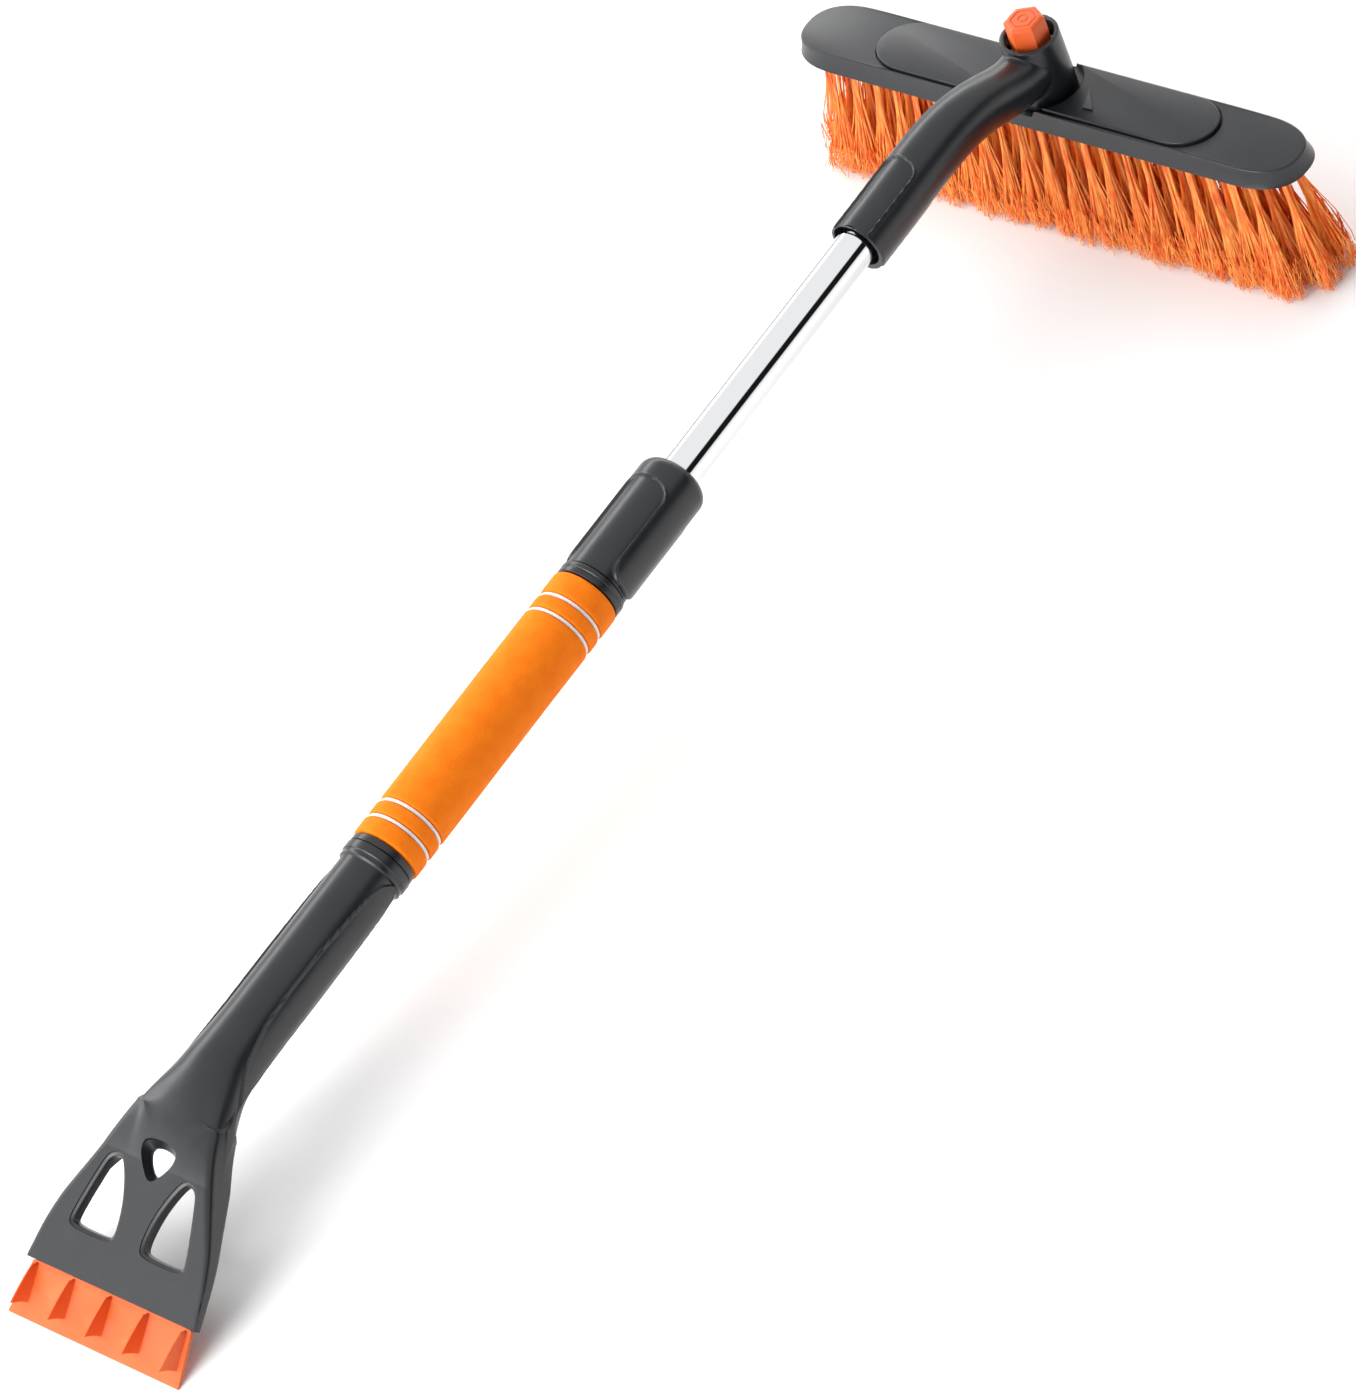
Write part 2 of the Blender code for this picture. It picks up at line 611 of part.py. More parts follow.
def twist_collar(handle):
    """Locking collar with a rounded shoulder."""
    cavity = COLLAR_RADIUS - COLLAR_WALL
    rise = COLLAR_RADIUS - COLLAR_BORE - COLLAR_LIP
    profile = [(COLLAR_BORE, COLLAR_START)]
    for i in range(SHOULDER_SPANS + 1):
        angle = math.pi / 2 * i / SHOULDER_SPANS
        radius = COLLAR_RADIUS - rise * (1 - math.sin(angle))
        profile.append((radius, COLLAR_START + COLLAR_SHOULDER * (1 - math.cos(angle))))
    profile += [
        (COLLAR_RADIUS, COLLAR_END - COLLAR_TAPER), (COLLAR_RADIUS - COLLAR_TAPER_DEPTH, COLLAR_END),
        (cavity, COLLAR_END), (cavity, CAVITY_START), (COLLAR_BORE, CAVITY_START - CAVITY_SLOPE),
    ]
    return turned("twist_collar", profile, "black_plastic", handle)


# ---- telescopic tube and neck -------------------------------------------------
def inner_tube(handle):
    inside = INNER_TUBE_RADIUS - INNER_TUBE_WALL
    sliding = tube("inner_tube", INNER_TUBE_RADIUS, inside, TUBE_START, TUBE_END, "chrome", handle)
    cut(sliding, screw_well("inner_tube_screw_well", NECK_SCREW[0], handle))
    return sliding


def tube_guide(handle):
    """Bush in the inner end of the sliding tube; its flange runs in the outer tube."""
    spigot = INNER_TUBE_RADIUS - INNER_TUBE_WALL - GAP
    flange = OUTER_TUBE_RADIUS - OUTER_TUBE_WALL - GAP
    start = TUBE_END - GUIDE_SPIGOT
    seat = TUBE_END + GAP
    profile = [
        (spigot, start), (spigot, seat), (flange, seat),
        (flange, GUIDE_END), (GUIDE_BORE, GUIDE_END), (GUIDE_BORE, start),
    ]
    return turned("tube_guide", profile, "nylon", handle)


def neck_section(index):
    back, height, half = NECK_STATIONS[index]
    before = NECK_STATIONS[max(index - 1, 0)]
    after = NECK_STATIONS[min(index + 1, len(NECK_STATIONS) - 1)]
    direction = Vector((0.0, before[0] - after[0], after[1] - before[1])).normalized()
    if index == 0:
        direction = -ALONG_HANDLE
    across = Vector((1.0, 0.0, 0.0)).cross(direction)
    centre = Vector((0.0, -back, height))
    return [centre + Vector((point.x, 0.0, 0.0)) + across * point.y for point in circle(half, 0.0, ROUND)]


def gooseneck(pivot, handle):
    """One moulding: a socket on the tube, a curved neck and the boss that turns on the brush."""
    vertices, faces = loft([neck_section(i) for i in range(len(NECK_STATIONS))], False)
    neck = make_object("gooseneck", vertices, faces, "black_plastic", pivot)
    bottom = -POCKET_DEPTH + BOSS_LIFT
    fuse(neck, rod("boss", BOSS_RADIUS, bottom, BOSS_HEIGHT, "black_plastic", pivot))
    cut(neck, bore("lower_cavity", LOWER_BORE, bottom - BEYOND, WEB_BOTTOM, pivot))
    cut(neck, bore("button_well", BOSS_BORE, WEB_TOP, BOSS_HEIGHT + BEYOND, pivot))
    cut(neck, lugged_disc("lug_ways", 2 * GAP, LUG_WAY_SHARE, LUG_WAY_BOTTOM, LUG_WAY_TOP, "steel", pivot))
    cut(neck, bore("web_hole", STUB_RADIUS + GAP, 0.0, WEB_TOP + BEYOND, pivot))
    socket = [(INNER_TUBE_RADIUS + wider, SOCKET_END + past) for wider, past in SOCKET_BORE]
    cut(neck, turned("neck_socket", socket, "steel", handle, hollow=False))
    cut(neck, screw_well("neck_screw_well", NECK_SCREW[0], handle))
    return neck


# ---- lock inside the boss -----------------------------------------------------
def lugged_disc(name, grow, share, bottom, top, slot, pivot):
    """A solid disc with lugs round its rim."""
    lug = LUG_RADIUS + grow
    corners = (
        (LUG_ROOT, -0.5), (LUG_ROOT, -share / 2 - LUG_SLOPE), (lug, -share / 2),
        (lug, 0.0), (lug, share / 2), (LUG_ROOT, share / 2 + LUG_SLOPE),
    )
    outline = []
    for i in range(LUG_COUNT):
        for radius, turn in corners:
            angle = 2 * math.pi * (i + turn) / LUG_COUNT
            outline.append((radius * math.cos(angle), radius * math.sin(angle)))
    return extruded(name, outline, bottom, top, slot, pivot)


def lock_ring(pivot):
    """Ring that the button pushes down; its lugs run in ways inside the boss."""
    ring = lugged_disc("lock_ring", 0.0, LUG_SHARE, LOCK_RING_BOTTOM, STUB_TOP, "nylon", pivot)
    bottom = LOCK_RING_BOTTOM - BEYOND
    cut(ring, bore("lock_ring_bore", STUB_RADIUS + GAP, bottom, STUB_TOP + BEYOND, pivot))
    return ring


def spring_ring(angle, height):
    out = Vector((math.cos(angle), math.sin(angle), 0.0))
    centre = out * SPRING_RADIUS + Vector((0.0, 0.0, height))
    ring = []
    for k in range(SPRING_SIDES):
        turn = 2 * math.pi * k / SPRING_SIDES
        rise = Vector((0.0, 0.0, SPRING_WIRE * math.sin(turn)))
        ring.append(centre + out * SPRING_WIRE * math.cos(turn) + rise)
    return ring


def button_spring(pivot):
    """Spring between the web and the lock ring."""
    bottom = WEB_TOP + GAP + SPRING_WIRE
    top = LOCK_RING_BOTTOM - GAP - SPRING_WIRE
    count = SPRING_STEPS * SPRING_TURNS
    rings = []
    for i in range(count + 1):
        angle = 2 * math.pi * SPRING_TURNS * i / count
        rings.append(spring_ring(angle, bottom + (top - bottom) * i / count))
    vertices, faces = loft(rings, False)
    return make_object("button_spring", vertices, faces, "steel", pivot)


def hexagon(radius, height):
    """A ring with six soft corners."""
    ring = []
    for i in range(BUTTON_SIDES):
        angle = 2 * math.pi * i / BUTTON_SIDES
        reach = radius * (1.0 + BUTTON_SWELL * math.cos(6 * angle))
        ring.append(Vector((reach * math.cos(angle), reach * math.sin(angle), height)))
    return ring


def push_button(pivot):
    """Six-sided cap with rounded corners, open below."""
    bottom = STUB_TOP + GAP
    inside = BUTTON_RADIUS - BUTTON_WALL
    profile = (
        (inside, BUTTON_TOP - BUTTON_ROOF), (inside, bottom), (BUTTON_RADIUS, bottom),
        (BUTTON_RADIUS, BUTTON_TOP - BUTTON_BEVEL), (BUTTON_RADIUS - BUTTON_BEVEL, BUTTON_TOP),
    )
    vertices, faces = loft([hexagon(radius, height) for radius, height in profile], False)
    return make_object("push_button", vertices, faces, "orange_plastic", pivot)


# ---- brush head ---------------------------------------------------------------
def cover_shell(pivot):
    """Plate with a flared skirt, a raised oval on top and a hollow below."""
    low_length = BRUSH_LENGTH + 2 * SKIRT_FLARE
    low = oval(low_length, BRUSH_WIDTH + 2 * SKIRT_FLARE, BRUSH_END + SKIRT_FLARE)
    high = oval(BRUSH_LENGTH, BRUSH_WIDTH, BRUSH_END)
    rings = [[Vector((x, y, -SKIRT_DEPTH)) for x, y in low], [Vector((x, y, 0.0)) for x, y in high]]
    vertices, faces = loft(rings, False)
    cover = make_object("brush_cover", vertices, faces, "black_plastic", pivot)
    raised = oval(PLATFORM_LENGTH, PLATFORM_WIDTH, PLATFORM_END)
    fuse(cover, extruded("platform", raised, -OVERLAP, PLATFORM_RISE, "steel", pivot))
    hollow = oval(BRUSH_LENGTH - 2 * COVER_WALL, BRUSH_WIDTH - 2 * COVER_WALL, BRUSH_END - COVER_WALL)
    cut(cover, extruded("cover_hollow", hollow, -SKIRT_DEPTH - BEYOND, -COVER_TOP, "steel", pivot))
    return cover


def pivot_seat(pivot):
    """Thickening under the pocket, kept inside the skirt."""
    bottom = -POCKET_DEPTH - SEAT_WALL
    top = -COVER_TOP + OVERLAP / 2
    seat = rod("pivot_seat", POCKET_RADIUS + SEAT_WALL, bottom, top, "steel", pivot)
    inside = oval(BRUSH_LENGTH - COVER_WALL, BRUSH_WIDTH - COVER_WALL, BRUSH_END)
    bound = extruded("seat_bound", inside, bottom - BEYOND, BEYOND, "steel", pivot)
    combine(seat, bound, "INTERSECT")
    return seat


def brush_post(pivot):
    shoulder = WEB_BOTTOM - GAP
    profile = [
        (POST_RADIUS, -POCKET_DEPTH - OVERLAP), (POST_RADIUS, shoulder),
        (STUB_RADIUS, shoulder), (STUB_RADIUS, STUB_TOP),
    ]
    return turned("post", profile, "steel", pivot, hollow=False)


def screw_hole(name, place, top, pivot):
    """Cutter for a block screw, from below up to top."""
    hole = bore(name, BLOCK_SCREW_HOLE, -BLOCK_BOTTOM - BEYOND, top, pivot, SCREW_ROUND)
    hole.location.x = place
    return hole


def brush_cover(pivot):
    """Cover plate with a skirt, a raised oval, the pivot's seat and its post."""
    cover = cover_shell(pivot)
    fuse(cover, pivot_seat(pivot))
    cut(cover, bore("pocket", POCKET_RADIUS, -POCKET_DEPTH, BEYOND, pivot))
    fuse(cover, brush_post(pivot))
    cut(cover, bore("post_hole", POST_HOLE_RADIUS, POST_HOLE_BOTTOM, STUB_TOP + BEYOND, pivot, SMALL_ROUND))
    for i, place in enumerate(BLOCK_SCREW_PLACES):
        cut(cover, screw_hole(f"cover_screw_hole_{i + 1}", place, -BLOCK_SCREW_HOLE_TOP, pivot))
    return cover


def brush_block(pivot):
    """Board inside the skirt that holds the tufts."""
    inset = COVER_WALL + GAP
    outline = oval(BRUSH_LENGTH - 2 * inset, BRUSH_WIDTH - 2 * inset, BRUSH_END - inset)
    block = extruded("brush_block", outline, -BLOCK_BOTTOM, -COVER_TOP - GAP, "black_plastic", pivot)
    recess_radius = POCKET_RADIUS + SEAT_WALL + SEAT_CLEARANCE
    cut(block, bore("seat_recess", recess_radius, -POCKET_DEPTH - SEAT_WALL - GAP, BEYOND, pivot))
    for i, place in enumerate(BLOCK_SCREW_PLACES):
        cut(block, screw_hole(f"block_screw_hole_{i + 1}", place, BEYOND, pivot))
    return block


def block_screw(index, place, pivot):
    seat = -BLOCK_BOTTOM - GAP
    profile = [
        (BLOCK_SCREW_HEAD, seat - BLOCK_SCREW_HEAD_HEIGHT), (BLOCK_SCREW_HEAD, seat),
        (BLOCK_SCREW_SHANK, seat + STEP), (BLOCK_SCREW_SHANK, -BLOCK_SCREW_TIP),
    ]
    screw = turned(f"block_screw_{index}", profile, "steel", pivot, SCREW_ROUND, hollow=False)
    screw.location.x = place
    return screw


def pivot_washer(pivot):
    bottom = STUB_TOP + GAP
    return tube("pivot_washer", WASHER_RADIUS, WASHER_HOLE, bottom, bottom + WASHER_THICKNESS, "steel", pivot)


def pivot_screw(pivot):
    seat = STUB_TOP + 2 * GAP + WASHER_THICKNESS
    profile = [
        (PIVOT_SCREW_SHANK, PIVOT_SCREW_BOTTOM), (PIVOT_SCREW_SHANK, seat),
        (PIVOT_SCREW_HEAD, seat + STEP), (PIVOT_SCREW_HEAD, seat + PIVOT_SCREW_RIM),
        (PIVOT_SCREW_CROWN, seat + PIVOT_SCREW_HEIGHT),
    ]
    return turned("pivot_screw", profile, "steel", pivot, SMALL_ROUND, hollow=False)


def comb_outline(tufts, top, bottom):
    """Outline of one row: separate tufts above, run together above the tips."""
    fringe = bottom + FRINGE_HEIGHT
    end = TUFT_PITCH * tufts / 2 * (1 + TUFT_LEAN)
    lean = 1 + TUFT_LEAN * (top - fringe) / (top - bottom)
    spread = TUFT_PITCH * TUFT_SPREAD
    outline = [(-end, bottom), (end, bottom)]
    for i in reversed(range(tufts)):
        x = TUFT_PITCH * (i - (tufts - 1) / 2)
        outline += [((x + spread) * lean, fringe), (x + TUFT_ROOT / 2, top)]
        outline += [(x - TUFT_ROOT / 2, top), ((x - spread) * lean, fringe)]
    return outline


def bristle_row(index, offset, tufts, pivot):
    top = -BLOCK_BOTTOM - GAP
    bottom = -PLATE_HEIGHT
    rings = []
    for side in (-1, 1):
        ring = []
        for x, z in comb_outline(tufts, top, bottom):
            flare = 1 + ROW_FLARE * (top - z) / (top - bottom)
            ring.append(Vector((x, offset * flare + side * ROW_THICKNESS / 2, z)))
        rings.append(ring)
    vertices, faces = loft(rings, False)
    return make_object(f"bristle_row_{index}", vertices, faces, "bristle", pivot, smooth=False)


# ---- assembly -----------------------------------------------------------------
def build_handle(pivot, handle):
    scraper_body(pivot, handle)
    scraper_blade(pivot)
    outer_tube(handle)
    side_screw("handle_screw", HANDLE_SCREW, handle)
    foam_grip(handle)
    for index, station in enumerate(STRIPE_STATIONS):
        grip_stripe(index + 1, station, handle)
    grip_end_ring(handle)
    tube_ferrule(handle)
    collet(handle)
    twist_collar(handle)


def build_boom(pivot, handle):
    inner_tube(handle)
    tube_guide(handle)
    gooseneck(pivot, handle)
    side_screw("neck_screw", NECK_SCREW, handle)
    push_button(pivot)
    lock_ring(pivot)
    button_spring(pivot)


def build_brush(pivot):
    brush_cover(pivot)
    pivot_washer(pivot)
    pivot_screw(pivot)
    brush_block(pivot)
    for index, place in enumerate(BLOCK_SCREW_PLACES):
        block_screw(index + 1, place, pivot)
    for index, (offset, tufts) in enumerate(ROWS):
        bristle_row(index + 1, offset, tufts, pivot)


def build():
    clear_scene()
    pivot = pivot_axis()
    handle = handle_axis()
    bpy.context.view_layer.update()
    build_handle(pivot, handle)
    build_boom(pivot, handle)
    build_brush(pivot)


build()
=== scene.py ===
import json
import math

import bmesh
import bpy
import numpy as np
from mathutils import Matrix, Vector


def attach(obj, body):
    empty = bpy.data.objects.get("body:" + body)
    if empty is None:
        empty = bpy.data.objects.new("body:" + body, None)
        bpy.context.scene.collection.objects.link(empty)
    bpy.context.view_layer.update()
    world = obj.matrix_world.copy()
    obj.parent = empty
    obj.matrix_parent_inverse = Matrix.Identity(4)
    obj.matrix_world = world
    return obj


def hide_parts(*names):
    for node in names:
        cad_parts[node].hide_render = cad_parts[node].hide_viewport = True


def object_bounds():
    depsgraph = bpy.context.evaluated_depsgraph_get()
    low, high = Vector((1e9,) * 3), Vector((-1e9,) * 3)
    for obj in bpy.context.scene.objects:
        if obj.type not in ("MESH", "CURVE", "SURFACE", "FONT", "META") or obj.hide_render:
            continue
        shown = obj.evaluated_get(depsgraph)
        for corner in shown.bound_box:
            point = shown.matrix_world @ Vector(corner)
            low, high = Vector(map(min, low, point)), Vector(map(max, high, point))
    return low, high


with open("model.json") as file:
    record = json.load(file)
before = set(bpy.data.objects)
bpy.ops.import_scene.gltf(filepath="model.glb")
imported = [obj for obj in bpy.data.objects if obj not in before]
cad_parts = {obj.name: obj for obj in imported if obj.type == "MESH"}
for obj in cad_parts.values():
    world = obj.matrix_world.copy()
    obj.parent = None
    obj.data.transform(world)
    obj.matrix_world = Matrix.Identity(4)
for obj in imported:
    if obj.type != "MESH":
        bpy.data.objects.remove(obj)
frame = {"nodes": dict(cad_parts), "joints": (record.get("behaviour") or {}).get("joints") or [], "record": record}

CAD_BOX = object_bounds()
NODES = frame["nodes"]
JOINTS = {joint["name"]: joint for joint in frame["joints"]}

# ---- places, from the frame ---------------------------------------------------
PIVOT = Vector(JOINTS["brush_turn"]["pos_m"])
AXIS_POINT = Vector(JOINTS["collar_twist"]["pos_m"])
ALONG_HANDLE = -Vector(JOINTS["tube_slide"]["axis"]).normalized()
DROP = math.asin(-ALONG_HANDLE.z)
PLATE = Matrix.Translation(PIVOT)            # the brush plate's top, at the pivot
HANDLE = Matrix.Translation(AXIS_POINT) @ Matrix.Rotation(math.pi / 2 + DROP, 4, "X")

# ---- general ------------------------------------------------------------------
GAP = 0.0003                 # clearance between neighbouring pieces
BEYOND = 0.010               # a cutter runs past the piece it cuts by this
SHARP = math.radians(32)     # edges above this stay sharp
BEAD_SHARP = math.radians(60)                # and above these on a small bead and on a filament
FILAMENT_SHARP = math.radians(80)
COLUMNS = 256                # points round a sleeve
FINE = 0.0004                # spacing of rings along a sleeve
EDGE_WIDTH = 0.0006          # width of the wall round a sunk pad
PAD_DEPTH = 0.0009
BEAD_HEIGHT = 0.00025        # bead along the edge of a sunk pad
BEAD_WIDTH = 0.00045
COLLAR_EDGE_WIDTH = 0.0009
COLLAR_PAD_DEPTH = 0.0012

# ---- handle: radii, and stations along its axis from over the pivot ------------
INNER_TUBE_RADIUS = 0.0095
INNER_TUBE_WALL = 0.0010
TUBE_START = 0.0950
TUBE_END = 0.4380
OUTER_TUBE_RADIUS = 0.0114
OUTER_TUBE_END = 0.5850
LEDGE = 0.3300               # the outer tube starts here, inside the ferrule
GRIP_RADIUS = 0.0163
GRIP_START = 0.3477
GRIP_END = 0.4970
GRIP_ROUND = 0.0016
FOAM_STEP = 0.0006           # spacing of rings along the foam
FOAM_WAVE = 0.00005          # depth of the foam's unevenness
FOAM_WAVES_ROUND = (3, 5)    # waves round the foam, and along it in radians a metre
FOAM_WAVES_ALONG = (41.0, 63.0, 97.0)
GROOVE_HALF = 0.0012
GROOVE_DEPTH = 0.0018
GROOVE_ROUND = 0.0011        # rounding of the foam beside a groove
GROOVE_SAG = 0.6             # depth of that rounding, as a share of its length
GROOVE_WALL = 0.0001         # length of a groove's sloping wall
GROOVE_RINGS = (-0.0002, -0.00005, 0.00005, 0.0002)  # extra rings, from each edge of a groove
STRIPE_STATIONS = (0.3604, 0.3691, 0.4784, 0.4872)
STRIPE_HALF = 0.0008
STRIPE_OUTSIDE = 0.0007      # below the grip's surface
STRIPE_LIFT = 0.0001         # above the groove's floor
STRIPE_ROUND = 0.0004
COLLAR_RADIUS = 0.0162
COLLAR_WALL = 0.0027
COLLAR_BORE = 0.0099
COLLAR_SHOULDER = 0.0060     # length of the rounded shoulder
SHOULDER_RINGS = 20
COLLAR_LIP = 0.0004          # flat ring inside the shoulder
COLLAR_START = 0.2775
COLLAR_END = 0.3410
CAVITY_START = 0.2860        # wide bore, round the collet
CAVITY_SLOPE = 0.0020
COLLAR_PAD = (0.2905, math.radians(46.5), 0.0095)    # start, half angle, length of the arch
COLLAR_BAND = 0.3398         # the side shells end here
COLLAR_CORNER = 0.0100       # rounding between a pad and the band
PAD_POWER = 2.6              # 2 is an elliptical arch
FERRULE_START = 0.3180
FERRULE_SPIGOT = 0.0134
FERRULE_RADIUS = 0.0159
FERRULE_ROUND = 0.0007
FERRULE_NOTCH = 0.0003       # groove round the flange
END_RING_RADIUS = 0.0156
END_RING_ROUND = 0.0006
BODY_START = 0.5010
BODY_RADIUS = 0.0152
WELL_RADIUS = 0.0020         # hole for a screw from below
WELL_TIP = 0.0050            # from the handle axis
WELL_END = 0.030
HANDLE_SCREW = 0.5450        # stations of the two screws from below
NECK_SCREW = 0.1180

# ---- the neck -----------------------------------------------------------------
# distance from the pivot towards the handle, height above the plate, half width
NECK_STATIONS = (
    (0.1368, 0.0218, 0.0139), (0.1150, 0.0237, 0.0139), (0.0920, 0.0260, 0.0139), (0.0760, 0.0272, 0.0138),
    (0.0620, 0.0271, 0.0136), (0.0490, 0.0252, 0.0132), (0.0380, 0.0221, 0.0129), (0.0280, 0.0186, 0.0126),
    (0.0190, 0.0162, 0.0125), (0.0100, 0.0154, 0.0125), (0.0, 0.0152, 0.0125),
)
NECK_PAD = (0.0945, math.radians(45.0), 0.0080)
SOCKET_END = 0.1377
# bore for the tube: (wider than the tube, past the socket's end)
SOCKET_BORE = ((GAP, -0.0433), (GAP, -0.0090), (0.0020, -0.0055), (0.0026, 0.0040))
NECK_COLUMNS = 96
NECK_PAD_LEAD = 0.002        # nothing is sunk further than this before the pad's start
FLAT_END_FACING = 0.9        # nor where the surface faces along the handle more than this
OUTSIDE = -1.0               # a distance that is outside any pad
BOSS_LOW_RADIUS = 0.0144
BOSS_HIGH_RADIUS = 0.0139
BOSS_BOTTOM = -0.0034
BOSS_HEIGHT = 0.0305
BOSS_BORE = 0.0116           # well that the button moves in
BOSS_CHAMFER = 0.0005
CHAMFER_PAST = 0.0002        # its cutter runs past the boss's top by this
LOWER_BORE = 0.0104          # cavity that turns on the post
WEB_BOTTOM = 0.0097
WEB_TOP = 0.0121
STUB_RADIUS = 0.0059
STUB_TOP = 0.0224
LUG_WAY_RADIUS = 0.0132
LUG_WAY_BOTTOM = 0.0131
LUG_WAY_TOP = 0.0235
VOXEL = 0.0005               # the neck is remeshed at this size, and then relaxed
RELAX_ROUNDS = 8

# ---- scraper end --------------------------------------------------------------
FLANGE_END = 0.5056
FLANGE_SLOPE = 0.0006
FLANGE_STEP = 0.0007
HEAD_BEND = 0.6547
HEAD_ANGLE = 0.486
HEAD_END = 0.0658
HEAD_TOP_CORNER = (0.0010, 0.0034)           # rounding of the upper edges at the blade and at the bend
HEAD_LOW_CORNER = 0.0030     # rounding of the lower edges
HOLLOW_ROOF = -0.0052        # hollow under the head, from its upper face
HOLLOW_MOUTH = -0.030
# (along the head, half width)
HOLLOW = ((0.0, 0.0225), (0.0115, 0.0282), (0.0354, 0.0402), (0.0474, 0.0436), (0.0500, 0.0442))
BEND_LEAD = 0.052            # the path leaves the handle axis this far before the bend
BEND_TAIL = 0.010
BEND_PULL = 0.022            # reach of the curve's two handles
BODY_WINDOW = 0.004          # the body's sizes are averaged over this to each side
OVAL_STEPS = 720
END_CHAMFER = 0.0004         # at the body's ends and its flange
HEAD_RING_STEP = 0.002       # spacing of rings along the flat head
HEAD_LAST_STEP = 0.0002      # and of its last one
BODY_WIDTH = (               # (station, half width)
    (0.5095, BODY_RADIUS), (HEAD_BEND - 0.064, 0.0155), (HEAD_BEND - 0.048, 0.0166),
    (HEAD_BEND - 0.034, 0.0192), (HEAD_BEND - 0.022, 0.0228), (HEAD_BEND - 0.010, 0.0260),
    (HEAD_BEND, 0.0285), (HEAD_BEND + 0.0115, 0.0326), (HEAD_BEND + 0.0354, 0.0432),
    (HEAD_BEND + 0.0474, 0.0466), (HEAD_BEND + HEAD_END, 0.0496),
)
BODY_HEIGHT = (              # (station, half height)
    (0.5095, BODY_RADIUS), (HEAD_BEND - 0.040, 0.0152), (HEAD_BEND - 0.020, 0.0124),
    (HEAD_BEND - 0.009, 0.0100), (HEAD_BEND, 0.0088), (HEAD_BEND + 0.014, 0.0073),
    (HEAD_BEND + 0.032, 0.0049), (HEAD_BEND + 0.048, 0.0036), (HEAD_BEND + HEAD_END, 0.0027),
)
SQUARE_START = HEAD_BEND - 0.036             # the section goes from oval to flat between these
SQUARE_END = HEAD_BEND + 0.014
PANEL_WINDOW = 0.0006        # averaging of the side panels' edges
PANEL_EDGE = (               # side panel of the body: (station, degrees from the side)
    (0.5085, 0.0), (0.5095, 9.0), (0.5125, 19.0), (0.5200, 27.0), (0.5325, 31.5), (0.5520, 36.0),
    (0.5730, 37.0), (0.5920, 34.0), (0.6090, 24.0), (0.6195, 10.0), (0.6270, 0.0),
)
PAD_LEAD = 0.0003            # the sunk pad starts this much before the side panel
PADS_STOP = HEAD_BEND + 0.030                # no pad's edge reaches this far
PAD_END = 0.6425             # far end of the sunk pad
PAD_END_BACK = 0.0095        # it ends this much earlier at the sides
PAD_END_POWER = 2.2
PAD_END_ANGLE = 48.0
PAD_TOP_SPAN = 25.0          # degrees over which its end wall fades out at the top
PAD_SIDE_ANGLE = 22.0        # it fades out below this, towards the sides
PAD_END_FADE = 30.0          # its end wall fades out over the top
WINDOW = (                   # right window: (across, along)
    (0.0205, 0.0125), (0.0235, 0.0135), (0.0255, 0.0165), (0.0325, 0.0430), (0.0310, 0.0455),
    (0.0105, 0.0455), (0.0085, 0.0430), (0.0100, 0.0310), (0.0140, 0.0200), (0.0180, 0.0130),
)
WINDOW_PROFILE = (           # (wider, lift from the head's upper face)
    (0.0025, 0.0060), (0.0020, 0.0004), (0.0018, -0.0005), (0.0009, -0.0006), (0.0003, -0.0010),
    (0.0, -0.0018), (0.0, -0.0180),
)
SHIELD_HOLE = ((0.0, 0.0152), (0.0040, 0.0124), (0.0072, 0.0068), (0.0060, 0.0036), (0.0, 0.0026))
SHIELD_RIM = ((0.0, 0.0178), (0.0046, 0.0140), (0.0098, 0.0066), (0.0094, 0.0006), (0.0, -0.0010))
SHIELD_PROFILE = (           # (share of the way from hole to rim, lift)
    (1.06, 0.0100), (1.0, -0.0003), (0.90, -0.0009), (0.12, -0.0032), (0.0, -0.0038), (0.0, -0.0220),
)
BLADE_END = 0.0903
BLADE_TOP = 0.0019           # below the head's upper face
BLADE_THICKNESS = 0.0024
BLADE_OPEN_THICKNESS = 0.0017
BLADE_EDGE = 0.0009
BLADE_BEVEL = 0.0060
BLADE_TONGUE = 0.0135
BLADE_HALF_ROOT = 0.0462
BLADE_HALF_EDGE = 0.0498
BLADE_TAPER = 0.0009
BLADE_SHOULDER = 0.0002
BLADE_ROUND = 0.0002
BLADE_SHARP = math.radians(50)               # edges above this are rounded
TONGUE_INSET = 0.0010
SLOT_INSET = 0.0005
TOOTH_COUNT = 5
TOOTH_PITCH = 0.02175
TOOTH_START = 0.0668
TOOTH_FOOT = 0.0836
TOOTH_LEAN = 0.0022          # the tip leans this far past the foot
TOOTH_HEIGHT = 0.0078
TOOTH_RIDGE = 0.00035        # half thickness of the ridge
TOOTH_BASE = (0.0007, 0.0026)                # half thickness at the start and at the foot
TOOTH_SINK = 0.0006
TOOTH_JUMP = (0.30, 0.08)    # share of the height that it reaches within this share of its length
TOOTH_CLIMB = 0.8            # powers of its curves: the ridge's climb, the foot's flare,
TOOTH_FLARE = 1.8            # and the lean by length and by height
TOOTH_LEANS = (3, 1.5)
TOOTH_RINGS = 14
TOOTH_LEVELS = 8
HEAD = (
    HANDLE
    @ Matrix.Translation((0.0, 0.0, HEAD_BEND))
    @ Matrix.Rotation(HEAD_ANGLE, 4, "X")
)

